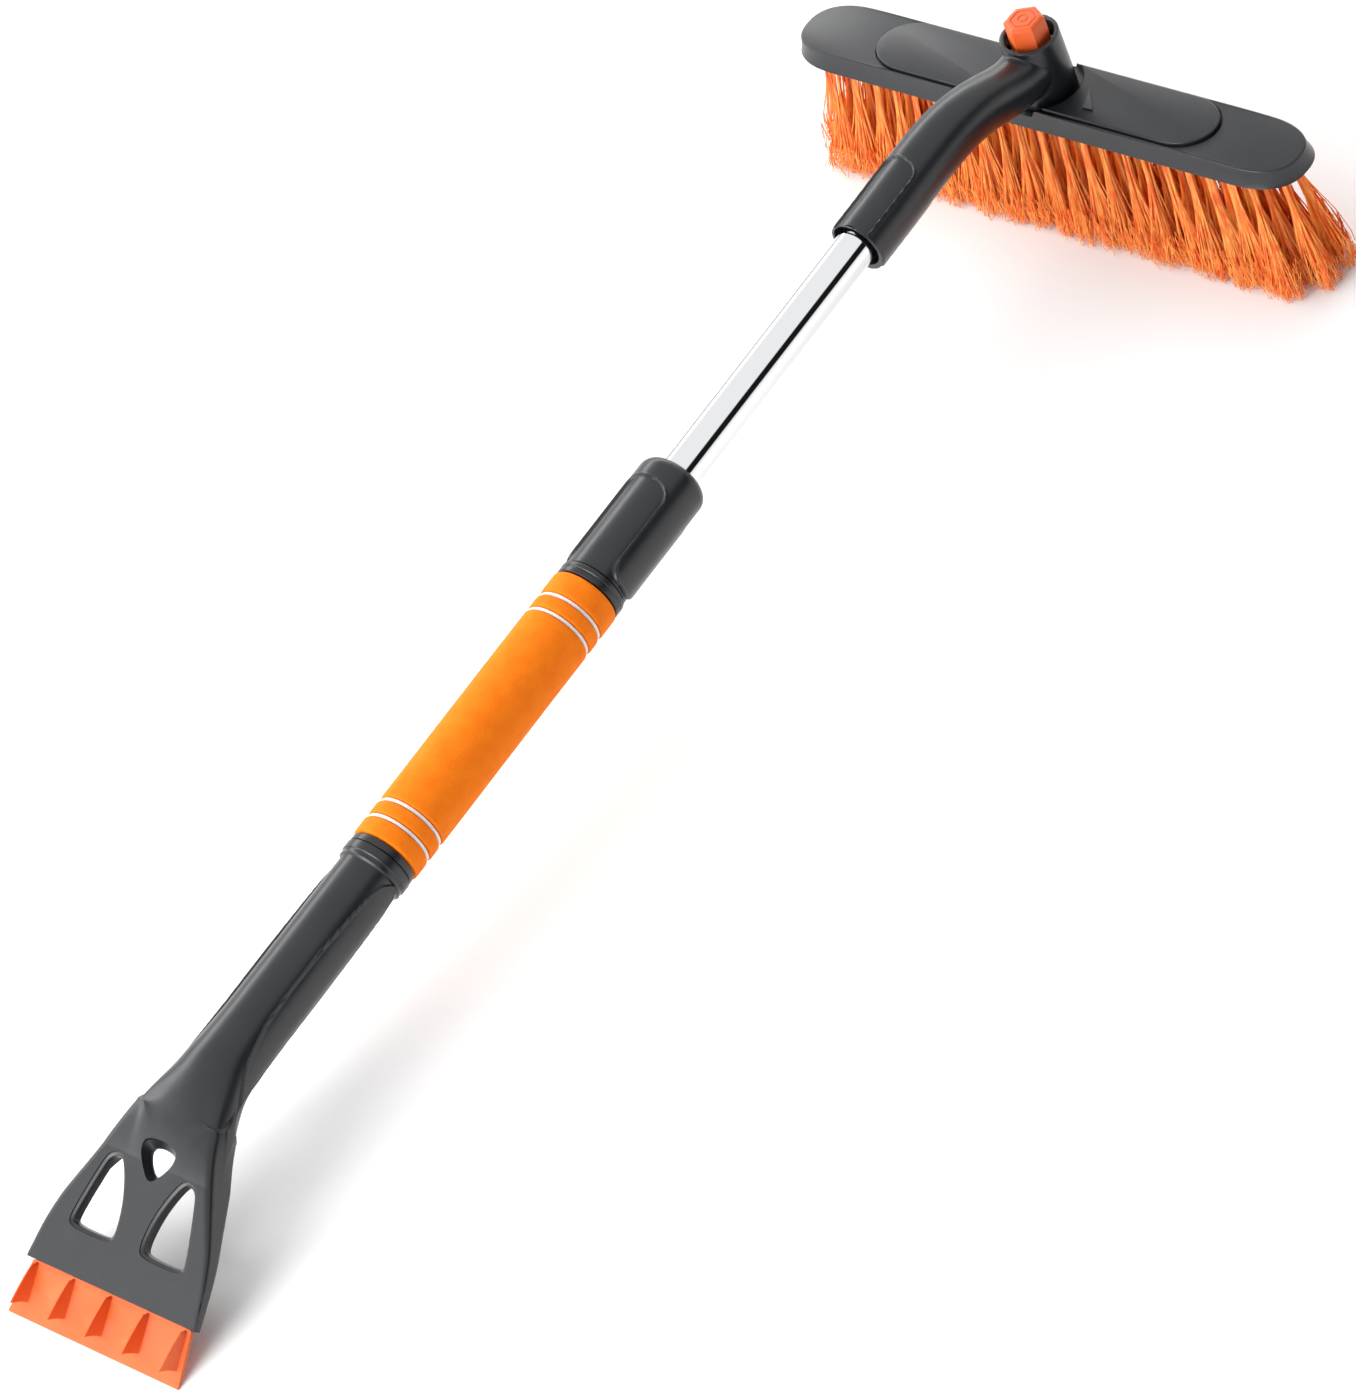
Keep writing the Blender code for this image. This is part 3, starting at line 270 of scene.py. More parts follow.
# ---- button -------------------------------------------------------------------
BUTTON_REACH = 0.0097        # to a corner of the hexagon
BUTTON_TOP = 0.0400
BUTTON_BEVEL = 0.0014
BUTTON_ROOF = 0.0034
BUTTON_WALL = 0.0014
BUTTON_ROUND = 0.0002        # rounding of the bevel's edges
BUTTON_SOFTNESS = 0.10       # 0 is a sharp hexagon
BUTTON_FULLNESS = 1.08       # the circle that softens it, against the hexagon's flats
BUTTON_GROOVE = 0.62         # size of the engraved hexagon, as a share of the button's
ENGRAVING = 0.00035          # width and depth of its line
BUTTON_RING = 0.0022         # radius of the engraved ring

# ---- brush head ---------------------------------------------------------------
BRUSH_LENGTH = 0.2825
BRUSH_WIDTH = 0.0346
BRUSH_END = 0.0275
BRUSH_SQUARENESS = 2.4       # 2 is an elliptical end
SKIRT_DEPTH = 0.0101
SKIRT_FLARE = 0.0020
SKIRT_POWER = 1.3            # bulge of the flare
SKIRT_SHARES = (0.2, 0.4, 0.6, 0.8)          # rings up the skirt
SKIRT_RIM = 0.0004
COVER_WALL = 0.0024
COVER_TOP = 0.0030
PLATE_ROUND = 0.0009
END_SLOPE_START = 0.100
END_SLOPE_DROP = 0.0014      # the plate's ends slope down by this
END_SLOPE_POWER = 1.5
PLATFORM_LENGTH = 0.192
PLATFORM_WIDTH = 0.0310
PLATFORM_END = 0.020
PLATFORM_RISE = 0.0018
PLATFORM_ROUND = 0.0007
GROOVE_AROUND = 0.0007       # groove round the platform: width, depth and rounding of its edge
GROOVE_AROUND_DEPTH = 0.0011
GROOVE_AROUND_ROUND = 0.0001
RIDGE = (                    # small ridge beside the pivot: (across, along, height)
    (0.0229, 0.0038, 0.0019), (0.0285, -0.0097, 0.0027), (0.0339, -0.0092, 0.0027),
)
POCKET_RADIUS = 0.0180       # round seat for the pivot
POCKET_DEPTH = 0.0040
POCKET_CHAMFER = 0.0006
SEAT_WALL = 0.0022
SEAT_TOP = -0.0025
POST_RADIUS = 0.0099
POST_ROOT = 0.001            # the post sinks into the seat by this
POST_HOLE_RADIUS = 0.0020
POST_HOLE_BOTTOM = 0.0090
BLOCK_BOTTOM = 0.0094
BLOCK_SCREW_PLACES = (-0.105, -0.042, 0.042, 0.105)
BLOCK_SCREW_HOLE = 0.0014
BLOCK_SCREW_HOLE_TOP = -0.0010

# ---- bristles -----------------------------------------------------------------
TUFT_PITCH = 0.0119
TUFT_LEAN = 0.072            # tufts lean out by this share of their distance from the middle
TUFT_ROOT = 0.0052
ROW_THICKNESS = 0.0044
SEED = 4100                  # of the random draws, with the row's number added
# (offset across, tufts)
ROWS = ((-0.0118, 21), (-0.0046, 23), (0.0046, 23), (0.0118, 21))
ROW_FLARE = 0.60             # tips lean out by this share of the row's offset
ROW_SPREAD = 1.25            # half width of a row at its tips, as a share of its thickness
BRISTLE_FRONT = 0.0262       # the tips reach this far in front of the pivot
CLUMPS = 8                   # strands that a tuft parts into
CLUMP_FILAMENTS = 6
PLACE_BY_CLUMP = (0.82, 0.72)                # how far a filament's root and tip follow its strand,
PLACE_BY_ITSELF = (0.18, 0.55)               # and how far they go their own way
CLUMP_SWING = 0.0011         # how far the tips of strands and of tufts stray
TUFT_SWING = 0.0007
ROOT_INSET = 0.0003
TUFT_REACH = 0.78            # half width of a tuft at its tips, as a share of the pitch
SPREAD_START = 0.25          # tufts begin to spread at this share of their length,
CURL_START = 0.62            # and filaments begin to curl at this one
CURL_POWER = 1.5
CURL = (0.0003, 0.0022)      # least curl, and what chance adds to it
CURL_WAVES = (26.0, 22.0)    # radians from root to tip, along and across the row
WANDER = 0.00025             # a filament's own bends
WANDER_WAVES = (7.0, 6.0)
SHORTEST = 0.05              # a filament may be shorter by this share
RING_POWER = 0.75            # rings crowd towards the tips
FILAMENT_RINGS = 16
FILAMENT_SIDES = 3
FILAMENT_ROOT = 0.00036      # radius
FILAMENT_TIP = 0.00024
FRAY_COUNT = 64              # thin curled ends in a tuft
FRAY_RINGS = 8
FRAY_RADIUS = 0.00020
FRAY_LENGTH = 0.017
FRAY_SHORTEST = 0.5
FRAY_ALONG = 0.75            # reach to each side, as a share of the pitch,
FRAY_ACROSS = 1.1            # and as a share of the row's thickness
FRAY_AIM = 0.0022            # how far they point away,
FRAY_HUB = 0.4               # about this share of their length
FRAY_CURL = (0.0003, 0.0014)
FRAY_WAVES = (3.0, 8.0)      # radians from root to tip
FRAY_LIFT = 0.003            # most height of a tip above the floor

# ---- camera: a fit to the photograph's outlines ---------------------------------
LENS = 174.06
SENSOR = 36.0
CAMERA_FROM_PIVOT = Vector((1.7762, -1.5991, 1.9059))
CAMERA_RIGHT = Vector((0.7525, 0.5894, -0.2939))
CAMERA_UP = Vector((-0.2695, 0.6828, 0.6791))

CLIP_END = 20.0

# ---- floor and light ----------------------------------------------------------
FLOOR_HALF = 6.0
SOFT_LIGHT_PLACE = (-0.2, -1.5, 0.6)
SOFT_LIGHT_POWER = 18.0
SOFT_LIGHT_SIZE = 0.9
# the studio's brightness by height angle over the handle, from the right side to the left:
# what lights the surfaces, and what glossy surfaces reflect
STUDIO = (
    (0.0, 1.3), (6.0, 1.3), (15.0, 0.16), (58.0, 0.16), (85.0, 0.90), (100.0, 1.8), (125.0, 2.3),
    (160.0, 2.3), (180.0, 2.0),
)
STUDIO_REFLECTED = (
    (0.0, 1.0), (8.0, 1.0), (11.0, 0.01), (37.5, 0.01), (41.0, 1.0), (146.0, 1.0), (150.0, 6.5),
    (158.0, 6.5), (162.0, 1.0), (168.0, 1.0), (173.0, 0.55), (180.0, 0.60),
)


def make_camera():
    data = bpy.data.cameras.new("camera")
    data.lens = LENS
    data.sensor_width = SENSOR
    data.clip_end = CLIP_END
    camera = bpy.data.objects.new("camera", data)
    bpy.context.scene.collection.objects.link(camera)
    right = CAMERA_RIGHT.normalized()
    back = right.cross(CAMERA_UP).normalized()
    up = back.cross(right)
    turn = Matrix((right, up, back)).transposed().to_4x4()
    plate_centre = Vector((0.0, PIVOT.y, PIVOT.z))
    camera.matrix_world = Matrix.Translation(plate_centre + CAMERA_FROM_PIVOT) @ turn
    bpy.context.scene.camera = camera


# ---- material helpers ---------------------------------------------------------
class Shader:
    """A procedural material being built."""

    def __init__(self, name, colour, roughness, metallic=0.0):
        self.material = bpy.data.materials.new(name)
        self.material.use_nodes = True
        self.nodes = self.material.node_tree.nodes
        self.links = self.material.node_tree.links
        self.surface = self.nodes["Principled BSDF"]
        self.set("Base Color", (*colour, 1.0))
        self.set("Roughness", roughness)
        self.set("Metallic", metallic)
        self.place = self.nodes.new("ShaderNodeTexCoord").outputs["Object"]

    def set(self, socket, value):
        self.surface.inputs[socket].default_value = value

    def noise(self, scale, detail=2.0, stretch=None):
        node = self.nodes.new("ShaderNodeTexNoise")
        node.inputs["Scale"].default_value = scale
        node.inputs["Detail"].default_value = detail
        source = self.place
        if stretch:
            mapping = self.nodes.new("ShaderNodeMapping")
            mapping.inputs["Scale"].default_value = stretch
            self.links.new(source, mapping.inputs["Vector"])
            source = mapping.outputs["Vector"]
        self.links.new(source, node.inputs["Vector"])
        return node.outputs["Fac"]

    def cells(self, scale):
        node = self.nodes.new("ShaderNodeTexVoronoi")
        node.inputs["Scale"].default_value = scale
        self.links.new(self.place, node.inputs["Vector"])
        return node.outputs["Distance"]

    def vary_colour(self, value, dark, light, between=(0.3, 0.7)):
        node = self.nodes.new("ShaderNodeValToRGB")
        for stop, place, colour in zip(node.color_ramp.elements, between, (dark, light)):
            stop.position = place
            stop.color = (*colour, 1.0)
        self.links.new(value, node.inputs["Fac"])
        self.links.new(node.outputs["Color"], self.surface.inputs["Base Color"])

    def vary_roughness(self, value, low, high):
        node = self.nodes.new("ShaderNodeMapRange")
        node.inputs["To Min"].default_value = low
        node.inputs["To Max"].default_value = high
        self.links.new(value, node.inputs["Value"])
        self.links.new(node.outputs["Result"], self.surface.inputs["Roughness"])

    def bump(self, value, strength, distance):
        node = self.nodes.new("ShaderNodeBump")
        node.inputs["Strength"].default_value = strength
        node.inputs["Distance"].default_value = distance
        self.links.new(value, node.inputs["Height"])
        self.links.new(node.outputs["Normal"], self.surface.inputs["Normal"])


def black_plastic():
    made = Shader("black_plastic", (0.0105, 0.0118, 0.0145), 0.32)
    made.set("Specular IOR Level", 0.55)
    made.vary_colour(made.noise(60.0, 4.0), (0.0090, 0.0102, 0.0126), (0.0122, 0.0136, 0.0168))
    made.vary_roughness(made.noise(300.0, 3.0), 0.27, 0.35)
    made.bump(made.cells(2300.0), 0.20, 0.00010)
    return made.material


def orange_plastic():
    made = Shader("orange_plastic", (0.80, 0.125, 0.026), 0.36)
    made.set("Specular IOR Level", 0.35)
    made.vary_colour(made.noise(40.0), (0.78, 0.115, 0.022), (0.82, 0.135, 0.030))
    made.vary_roughness(made.noise(220.0, 3.0), 0.30, 0.44)
    made.bump(made.noise(1400.0, 2.0), 0.12, 0.00005)
    return made.material


def orange_foam():
    made = Shader("orange_foam", (0.98, 0.21, 0.003), 0.80)
    made.set("Specular IOR Level", 0.20)
    made.vary_colour(made.noise(160.0, 5.0), (0.95, 0.190, 0.002), (1.0, 0.230, 0.003))
    made.bump(made.cells(1500.0), 0.5, 0.0003)
    return made.material


def white_foam():
    made = Shader("white_foam", (0.90, 0.88, 0.84), 0.80)
    made.vary_colour(made.noise(200.0, 4.0), (0.82, 0.80, 0.77), (0.92, 0.90, 0.88))
    made.bump(made.cells(1600.0), 0.4, 0.0002)
    return made.material


def bristle():
    made = Shader("bristle", (0.95, 0.24, 0.02), 0.32)
    # random tint along the strands, partly real tone and partly a painted highlight in its yellow light end
    strand_tint_and_highlight = made.noise(1.0, 3.0, (650.0, 650.0, 40.0))
    made.vary_colour(strand_tint_and_highlight, (0.90, 0.125, 0.006), (1.0, 0.41, 0.075), (0.36, 0.64))
    return made.material


def chrome():
    made = Shader("chrome", (0.82, 0.83, 0.845), 0.06, 1.0)
    made.vary_roughness(made.noise(500.0, 3.0, (1.0, 0.04, 1.0)), 0.04, 0.09)
    return made.material


def aluminium():
    made = Shader("aluminium", (0.62, 0.63, 0.65), 0.30, 1.0)
    made.vary_roughness(made.noise(900.0, 3.0, (1.0, 0.03, 1.0)), 0.22, 0.40)
    return made.material


def nylon():
    made = Shader("nylon", (0.70, 0.69, 0.65), 0.45)
    made.vary_colour(made.noise(90.0, 3.0), (0.64, 0.63, 0.58), (0.74, 0.73, 0.69))
    made.vary_roughness(made.noise(400.0), 0.38, 0.52)
    return made.material


def steel():
    made = Shader("steel", (0.45, 0.46, 0.48), 0.30, 1.0)
    made.vary_colour(made.noise(300.0, 4.0), (0.38, 0.39, 0.41), (0.50, 0.51, 0.53))
    made.vary_roughness(made.noise(700.0, 3.0), 0.22, 0.38)
    return made.material


MAKERS = (
    black_plastic, orange_plastic, orange_foam, white_foam, bristle, chrome, aluminium, nylon, steel,
)
MATERIALS = {maker.__name__: maker() for maker in MAKERS}


def dress_cad_nodes():
    for row in frame["record"]["subparts"]:
        node = NODES[row["node"]]
        node.data.materials.clear()
        node.data.materials.append(MATERIALS[row["material_slot"]])


# ---- numbers and outlines -----------------------------------------------------
def ease(value):
    value = np.clip(value, 0.0, 1.0)
    return value * value * (3.0 - 2.0 * value)


def rounded_max(a, b, corner):
    """The larger of two distances, with a rounded corner where they meet."""
    blend = np.clip(corner - np.abs(a - b), 0.0, None)
    return np.maximum(a, b) + blend * blend / (4.0 * corner)


def soft_table(table, station, window):
    """The value of a table at a station, averaged over a window so that it has no kinks."""
    places, values = zip(*table)
    spread = np.linspace(-window, window, 9)
    return float(np.mean(np.interp(station + spread, places, values)))


def soften(outline, times):
    """Cuts the corners of a closed outline, again and again."""
    points = np.array(outline, float)
    for _ in range(times):
        after = np.roll(points, -1, axis=0)
        points = np.stack([points * 0.75 + after * 0.25, points * 0.25 + after * 0.75], 1).reshape(-1, 2)
    return points


def widened(outline, distance):
    """The outline moved outwards, along its normals."""
    along = np.roll(outline, -1, axis=0) - np.roll(outline, 1, axis=0)
    normal = np.stack([along[:, 1], -along[:, 0]], 1)
    normal /= np.linalg.norm(normal, axis=1)[:, None]
    centre = outline.mean(axis=0)
    if np.sum(normal * (outline - centre)) < 0.0:
        normal = -normal
    return outline + normal * distance


def mirrored(half):
    """A closed outline from its right half, which starts and ends on the middle line."""
    return list(half) + [(-x, y) for x, y in reversed(half[1:-1])]


def spline(points, steps):
    """A smooth curve through points."""
    points = np.array(points, float)
    padded = np.vstack([2 * points[0] - points[1], points, 2 * points[-1] - points[-2]])
    curve = []
    for i in range(len(points) - 1):
        p0, p1, p2, p3 = padded[i:i + 4]
        for t in np.arange(steps) / steps:
            curve.append(0.5 * (
                2 * p1 + (p2 - p0) * t
                + (2 * p0 - 5 * p1 + 4 * p2 - p3) * t * t
                + (3 * p1 - p0 - 3 * p2 + p3) * t ** 3
            ))
    curve.append(points[-1])
    return np.array(curve)


# ---- meshes -------------------------------------------------------------------
def skin(grid, closed=False):
    """Points and faces over rows of equal rings; closed joins the last ring to the first."""
    rows, columns = grid.shape[:2]
    index = np.arange(rows * columns).reshape(rows, columns)
    here = index if closed else index[:-1]
    after = np.roll(index, -1, axis=0) if closed else index[1:]
    quads = np.stack([here, np.roll(here, -1, 1), np.roll(after, -1, 1), after], -1)
    faces = quads.reshape(-1, 4).tolist()
    if not closed:
        faces += [index[0][::-1].tolist(), index[-1].tolist()]
    return grid.reshape(-1, 3), faces


def make_mesh(name, points, faces, place=None):
    mesh = bpy.data.meshes.new(name)
    mesh.from_pydata(np.asarray(points, float).tolist(), [], faces)
    if place is not None:
        mesh.transform(place)
    shell = bmesh.new()
    shell.from_mesh(mesh)
    bmesh.ops.recalc_face_normals(shell, faces=shell.faces)
    shell.to_mesh(mesh)
    shell.free()
    return mesh


def make_form(name, points, faces, place=None):
    """An object that isn't a piece yet."""
    form = bpy.data.objects.new(name, make_mesh(name, points, faces, place))
    bpy.context.scene.collection.objects.link(form)
    return form


def settle(form):
    """Applies the form's modifiers."""
    bpy.context.view_layer.update()
    graph = bpy.context.evaluated_depsgraph_get()
    mesh = bpy.data.meshes.new_from_object(form.evaluated_get(graph))
    form.modifiers.clear()
    form.data = mesh


def combine(form, tools, operation="DIFFERENCE"):
    """Cuts, joins or bounds a form with closed tools, which are used up."""
    for tool in tools:
        modifier = form.modifiers.new(operation.lower(), "BOOLEAN")
        modifier.operation = operation
        modifier.solver = "EXACT"
        modifier.object = tool
    settle(form)
    for tool in tools:
        bpy.data.objects.remove(tool, do_unlink=True)


def round_edges(form, width, angle):
    bevel = form.modifiers.new("edges", "BEVEL")
    bevel.width = width
    bevel.segments = 1
    bevel.limit_method = "ANGLE"
    bevel.angle_limit = angle
    settle(form)


def finish_piece(form, slot, body, replaced=(), sharp=SHARP):
    """Gives a form its material, and says what it rides on and stands for."""
    mesh = form.data
    mesh.shade_smooth()
    mesh.set_sharp_from_angle(angle=sharp)
    mesh.materials.clear()
    mesh.materials.append(MATERIALS[slot])
    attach(form, body)
    if replaced:
        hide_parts(*replaced)
    return form


def turned(name, profile, columns=96, place=HANDLE, closed=True):
    """A turned form from (radius, height) points."""
    angles = 2 * math.pi * np.arange(columns) / columns
    rings = [
        np.stack([radius * np.cos(angles), radius * np.sin(angles), np.full(columns, height)], 1)
        for radius, height in profile
    ]
    return make_form(name, *skin(np.array(rings), closed), place)


def plug(name, profile, columns=64, place=PLATE):
    """A solid turned form: a cutter, a boss or a post."""
    return turned(name, profile, columns, place, closed=False)


def raised(outline, height):
    """A flat outline as a ring at a height."""
    return np.column_stack([outline, np.full(len(outline), height)])


def rounded_corner(radius, height, size, start, end, steps=5):
    """Profile points round a corner whose centre is (radius, height), between two angles."""
    turns = np.radians(np.linspace(start, end, steps))
    return [(radius + size * math.cos(turn), height + size * math.sin(turn)) for turn in turns]


def rounded_rim(radius, start, end, corner):
    """Profile points of a ring's outside, with both its corners rounded."""
    return (
        rounded_corner(radius - corner, start + corner, corner, -90, 0)
        + rounded_corner(radius - corner, end - corner, corner, 0, 90)
    )


def stations_between(start, end, step=FINE):
    count = max(2, int(round((end - start) / step)) + 1)
    return np.linspace(start, end, count)


# ---- sunk pads ----------------------------------------------------------------
def pole_angle(angle):
    """Angle from the nearer of the handle's top and bottom."""
    return math.pi / 2 - np.abs(np.arcsin(np.clip(np.sin(angle), -1.0, 1.0)))


def arch_distance(station, angle, pad, radius):
    """Distance inside a pad that starts with an arch; negative outside."""
    start, half_angle, length = pad
    across = pole_angle(angle) / half_angle
    back = np.clip((start + length - station) / length, 0.0, None)
    return (1.0 - (across ** PAD_POWER + back ** PAD_POWER) ** (1.0 / PAD_POWER)) * half_angle * radius


def sink(distance, depth=PAD_DEPTH, width=EDGE_WIDTH):
    """How deep the surface sinks at a distance inside a pad, with a bead along the edge."""
    bead = BEAD_HEIGHT * np.exp(-((distance + width / 2) / BEAD_WIDTH) ** 2)
    return depth * ease(distance / width + 0.5) - bead


# ---- collar, grip and tubes ---------------------------------------------------
def polar_grid(stations, radii):
    """Rings along the handle from a table of radii, one row a station."""
    columns = radii.shape[1]
    angles = 2 * math.pi * np.arange(columns) / columns
    along = np.repeat(np.asarray(stations)[:, None], columns, 1)
    return np.stack([radii * np.cos(angles), radii * np.sin(angles), along], -1)


def twist_collar():
    """Twist collar: a rounded shoulder and two side shells round sunk pads."""
    rise = COLLAR_RADIUS - COLLAR_BORE - COLLAR_LIP
    turns = np.linspace(0.0, math.pi / 2, SHOULDER_RINGS)
    shoulder = COLLAR_START + COLLAR_SHOULDER * (1 - np.cos(turns))
    straight = stations_between(COLLAR_START + COLLAR_SHOULDER, COLLAR_END - FINE)[1:]
    stations = np.concatenate([shoulder, straight, [COLLAR_END - FINE / 4, COLLAR_END]])
    radius = np.full(len(stations), COLLAR_RADIUS)
    radius[:len(turns)] -= rise * (1 - np.sin(turns))
    radius[-2:] -= (FINE / 3, FINE)
    angles = (2 * math.pi * np.arange(COLUMNS) / COLUMNS)[None, :]
    pads = arch_distance(stations[:, None], angles, COLLAR_PAD, COLLAR_RADIUS)
    band = (stations - COLLAR_BAND)[:, None] + 0 * angles
    inset = sink(rounded_max(pads, band, COLLAR_CORNER), COLLAR_PAD_DEPTH, COLLAR_EDGE_WIDTH)
    cavity = COLLAR_RADIUS - COLLAR_WALL
    inside = (
        (cavity, COLLAR_END), (cavity, CAVITY_START), (COLLAR_BORE, CAVITY_START - CAVITY_SLOPE),
        (COLLAR_BORE, COLLAR_START),
    )
    rows = np.vstack([radius[:, None] - inset] + [np.full((1, COLUMNS), reach) for reach, _ in inside])
    stations = np.concatenate([stations, [station for _, station in inside]])
    form = make_form("collar_shell", *skin(polar_grid(stations, rows), True), HANDLE)
    finish_piece(form, "black_plastic", "collar", ["twist_collar"])


def foam_grip():
    """Foam sleeve: soft ends, a groove for each stripe and a slightly uneven skin."""
    bore = OUTER_TUBE_RADIUS + GAP
    stations = list(stations_between(GRIP_START, GRIP_END, FOAM_STEP))
    for middle in STRIPE_STATIONS:
        for edge in (middle - GROOVE_HALF, middle + GROOVE_HALF):
            stations += [edge + beside for beside in GROOVE_RINGS]
    stations = np.array(sorted(stations))
    radius = np.full(len(stations), GRIP_RADIUS)
    for middle in STRIPE_STATIONS:
        beyond = np.abs(stations - middle) - GROOVE_HALF
        radius -= GROOVE_DEPTH * (1 - ease(beyond / GROOVE_WALL + 0.5))
        shoulder = np.clip(1 - beyond / GROOVE_ROUND, 0.0, 1.0)
        radius -= GROOVE_SAG * GROOVE_ROUND * (1 - np.sqrt(1 - shoulder ** 2)) * (beyond >= 0)
    from_end = np.minimum(stations - GRIP_START, GRIP_END - stations)
    inside_round = np.clip(1 - from_end / GRIP_ROUND, 0.0, 1.0)
    radius -= GRIP_ROUND * (1 - np.sqrt(1 - inside_round ** 2))
    angles = (2 * math.pi * np.arange(COLUMNS) / COLUMNS)[None, :]
    along = stations[:, None]
    few, many = FOAM_WAVES_ROUND
    long, middling, short = FOAM_WAVES_ALONG
    wave = np.sin(few * angles + long * along) * np.sin(short * along + 1.0)
    wave = wave + np.sin(many * angles - middling * along)
    outside = radius[:, None] - FOAM_WAVE * (1 + wave / 2)
    rows = np.vstack([outside, np.full((1, COLUMNS), bore), np.full((1, COLUMNS), bore)])
    stations = np.concatenate([stations, [GRIP_END, GRIP_START]])
    form = make_form("grip_foam", *skin(polar_grid(stations, rows), True), HANDLE)
    finish_piece(form, "orange_foam", "handle", ["foam_grip"])


def grip_stripe(index, station):
    """White ring in a groove of the foam."""
    inside = GRIP_RADIUS - GROOVE_DEPTH + STRIPE_LIFT
    start = station - STRIPE_HALF
    end = station + STRIPE_HALF
    rim = rounded_rim(GRIP_RADIUS - STRIPE_OUTSIDE, start, end, STRIPE_ROUND)
    form = turned(f"stripe_{index}", [(inside, start)] + rim + [(inside, end)], COLUMNS)
    finish_piece(form, "white_foam", "handle", [f"grip_stripe_{index}"], BEAD_SHARP)


def grip_end_ring():
    """Thin ring between the foam and the scraper body."""
    inside = OUTER_TUBE_RADIUS + GAP
    start = GRIP_END + GAP
    end = BODY_START - GAP
    rim = rounded_rim(END_RING_RADIUS, start, end, END_RING_ROUND)
    form = turned("end_ring", [(inside, start)] + rim + [(inside, end)], COLUMNS)
    finish_piece(form, "black_plastic", "handle", ["grip_end_ring"])


def tube_ferrule():
    """Ferrule on the outer tube, with a grooved flange against the foam."""
    seat = OUTER_TUBE_RADIUS + GAP
    throat = INNER_TUBE_RADIUS + GAP
    start = COLLAR_END + 2 * GAP
    end = GRIP_START - GAP
    middle = (start + end) / 2
    notch = FERRULE_NOTCH
    rim = rounded_rim(FERRULE_RADIUS, start, end, FERRULE_ROUND)
    groove = [
        (FERRULE_RADIUS, middle - 2 * notch), (FERRULE_RADIUS - notch, middle - notch),
        (FERRULE_RADIUS - notch, middle + notch), (FERRULE_RADIUS, middle + 2 * notch),
    ]
    corner_end = len(rim) // 2
    profile = [(FERRULE_SPIGOT, FERRULE_START), (FERRULE_SPIGOT, start)]
    profile += rim[:corner_end] + groove + rim[corner_end:]
    profile += [(seat, end), (seat, LEDGE - GAP), (throat, LEDGE - GAP), (throat, FERRULE_START)]
    finish_piece(turned("ferrule", profile, COLUMNS), "black_plastic", "handle", ["tube_ferrule"])


def screw_well(name, station):
    """Cutter for a screw that enters the handle from below."""
    place = HANDLE @ Matrix.Translation((0.0, 0.0, station)) @ Matrix.Rotation(math.pi / 2, 4, "X")
    return plug(name, [(WELL_RADIUS, WELL_TIP), (WELL_RADIUS, WELL_END)], 24, place)


def inner_tube():
    """Bright sliding tube."""
    inside = INNER_TUBE_RADIUS - INNER_TUBE_WALL
    lip = 0.0002
    profile = [
        (inside, TUBE_START), (INNER_TUBE_RADIUS - lip, TUBE_START), (INNER_TUBE_RADIUS, TUBE_START + lip),
        (INNER_TUBE_RADIUS, TUBE_END - lip), (INNER_TUBE_RADIUS - lip, TUBE_END), (inside, TUBE_END),
    ]
    form = turned("sliding_tube", profile, columns=160)
    combine(form, [screw_well("tube_well", NECK_SCREW)])
    finish_piece(form, "chrome", "boom", ["inner_tube"])


# ---- scraper end --------------------------------------------------------------
def half_width_at(station):
    return soft_table(BODY_WIDTH, station, BODY_WINDOW)


def half_height_at(station):
    return soft_table(BODY_HEIGHT, station, BODY_WINDOW)


def body_path(station):
    """Centre and direction of the body, in the handle's own axes."""
    along = Vector((0.0, 0.0, 1.0))
    head_along = Vector((0.0, -math.sin(HEAD_ANGLE), math.cos(HEAD_ANGLE)))
    head_up = Vector((0.0, math.cos(HEAD_ANGLE), math.sin(HEAD_ANGLE)))
    lead = HEAD_BEND - BEND_LEAD
    tail = HEAD_BEND + BEND_TAIL
    p0 = along * lead
    sunk = half_height_at(tail)
    p3 = along * HEAD_BEND + head_along * BEND_TAIL - head_up * sunk
    if station <= lead:
        return along * station, along
    if station >= tail:
        rise = sunk - half_height_at(station)
        return p3 + head_along * (station - tail) + head_up * rise, head_along
    p1 = p0 + along * BEND_PULL
    p2 = p3 - head_along * BEND_PULL
    t = (station - lead) / (tail - lead)
    point = p0 * (1 - t) ** 3 + p1 * 3 * t * (1 - t) ** 2 + p2 * 3 * t * t * (1 - t) + p3 * t ** 3
    slope = (p1 - p0) * (1 - t) ** 2 + (p2 - p1) * 2 * t * (1 - t) + (p3 - p2) * t * t
    return point, slope.normalized()


def spread_evenly(outline, count):
    """Points at equal distances round a closed outline, from its first point."""
    closed = np.vstack([outline, outline[:1]])
    run = np.concatenate([[0.0], np.cumsum(np.linalg.norm(np.diff(closed, axis=0), axis=1))])
    places = run[-1] * np.arange(count) / count
    return np.stack([np.interp(places, run, closed[:, 0]), np.interp(places, run, closed[:, 1])], 1)


def flat_section(half_width, half_height, high, low):
    """A rectangle from the middle of its right side; high and low are its corners' radii."""
    points = [(half_width, (low - high) / 2)]
    for turn, sx, sy in ((0, 1, 1), (90, -1, 1), (180, -1, -1), (270, 1, -1)):
        corner = high if sy > 0 else low
        centre = (sx * (half_width - corner), sy * (half_height - corner))
        points += rounded_corner(*centre, corner, turn, turn + 90, steps=9)
    return np.array(points)


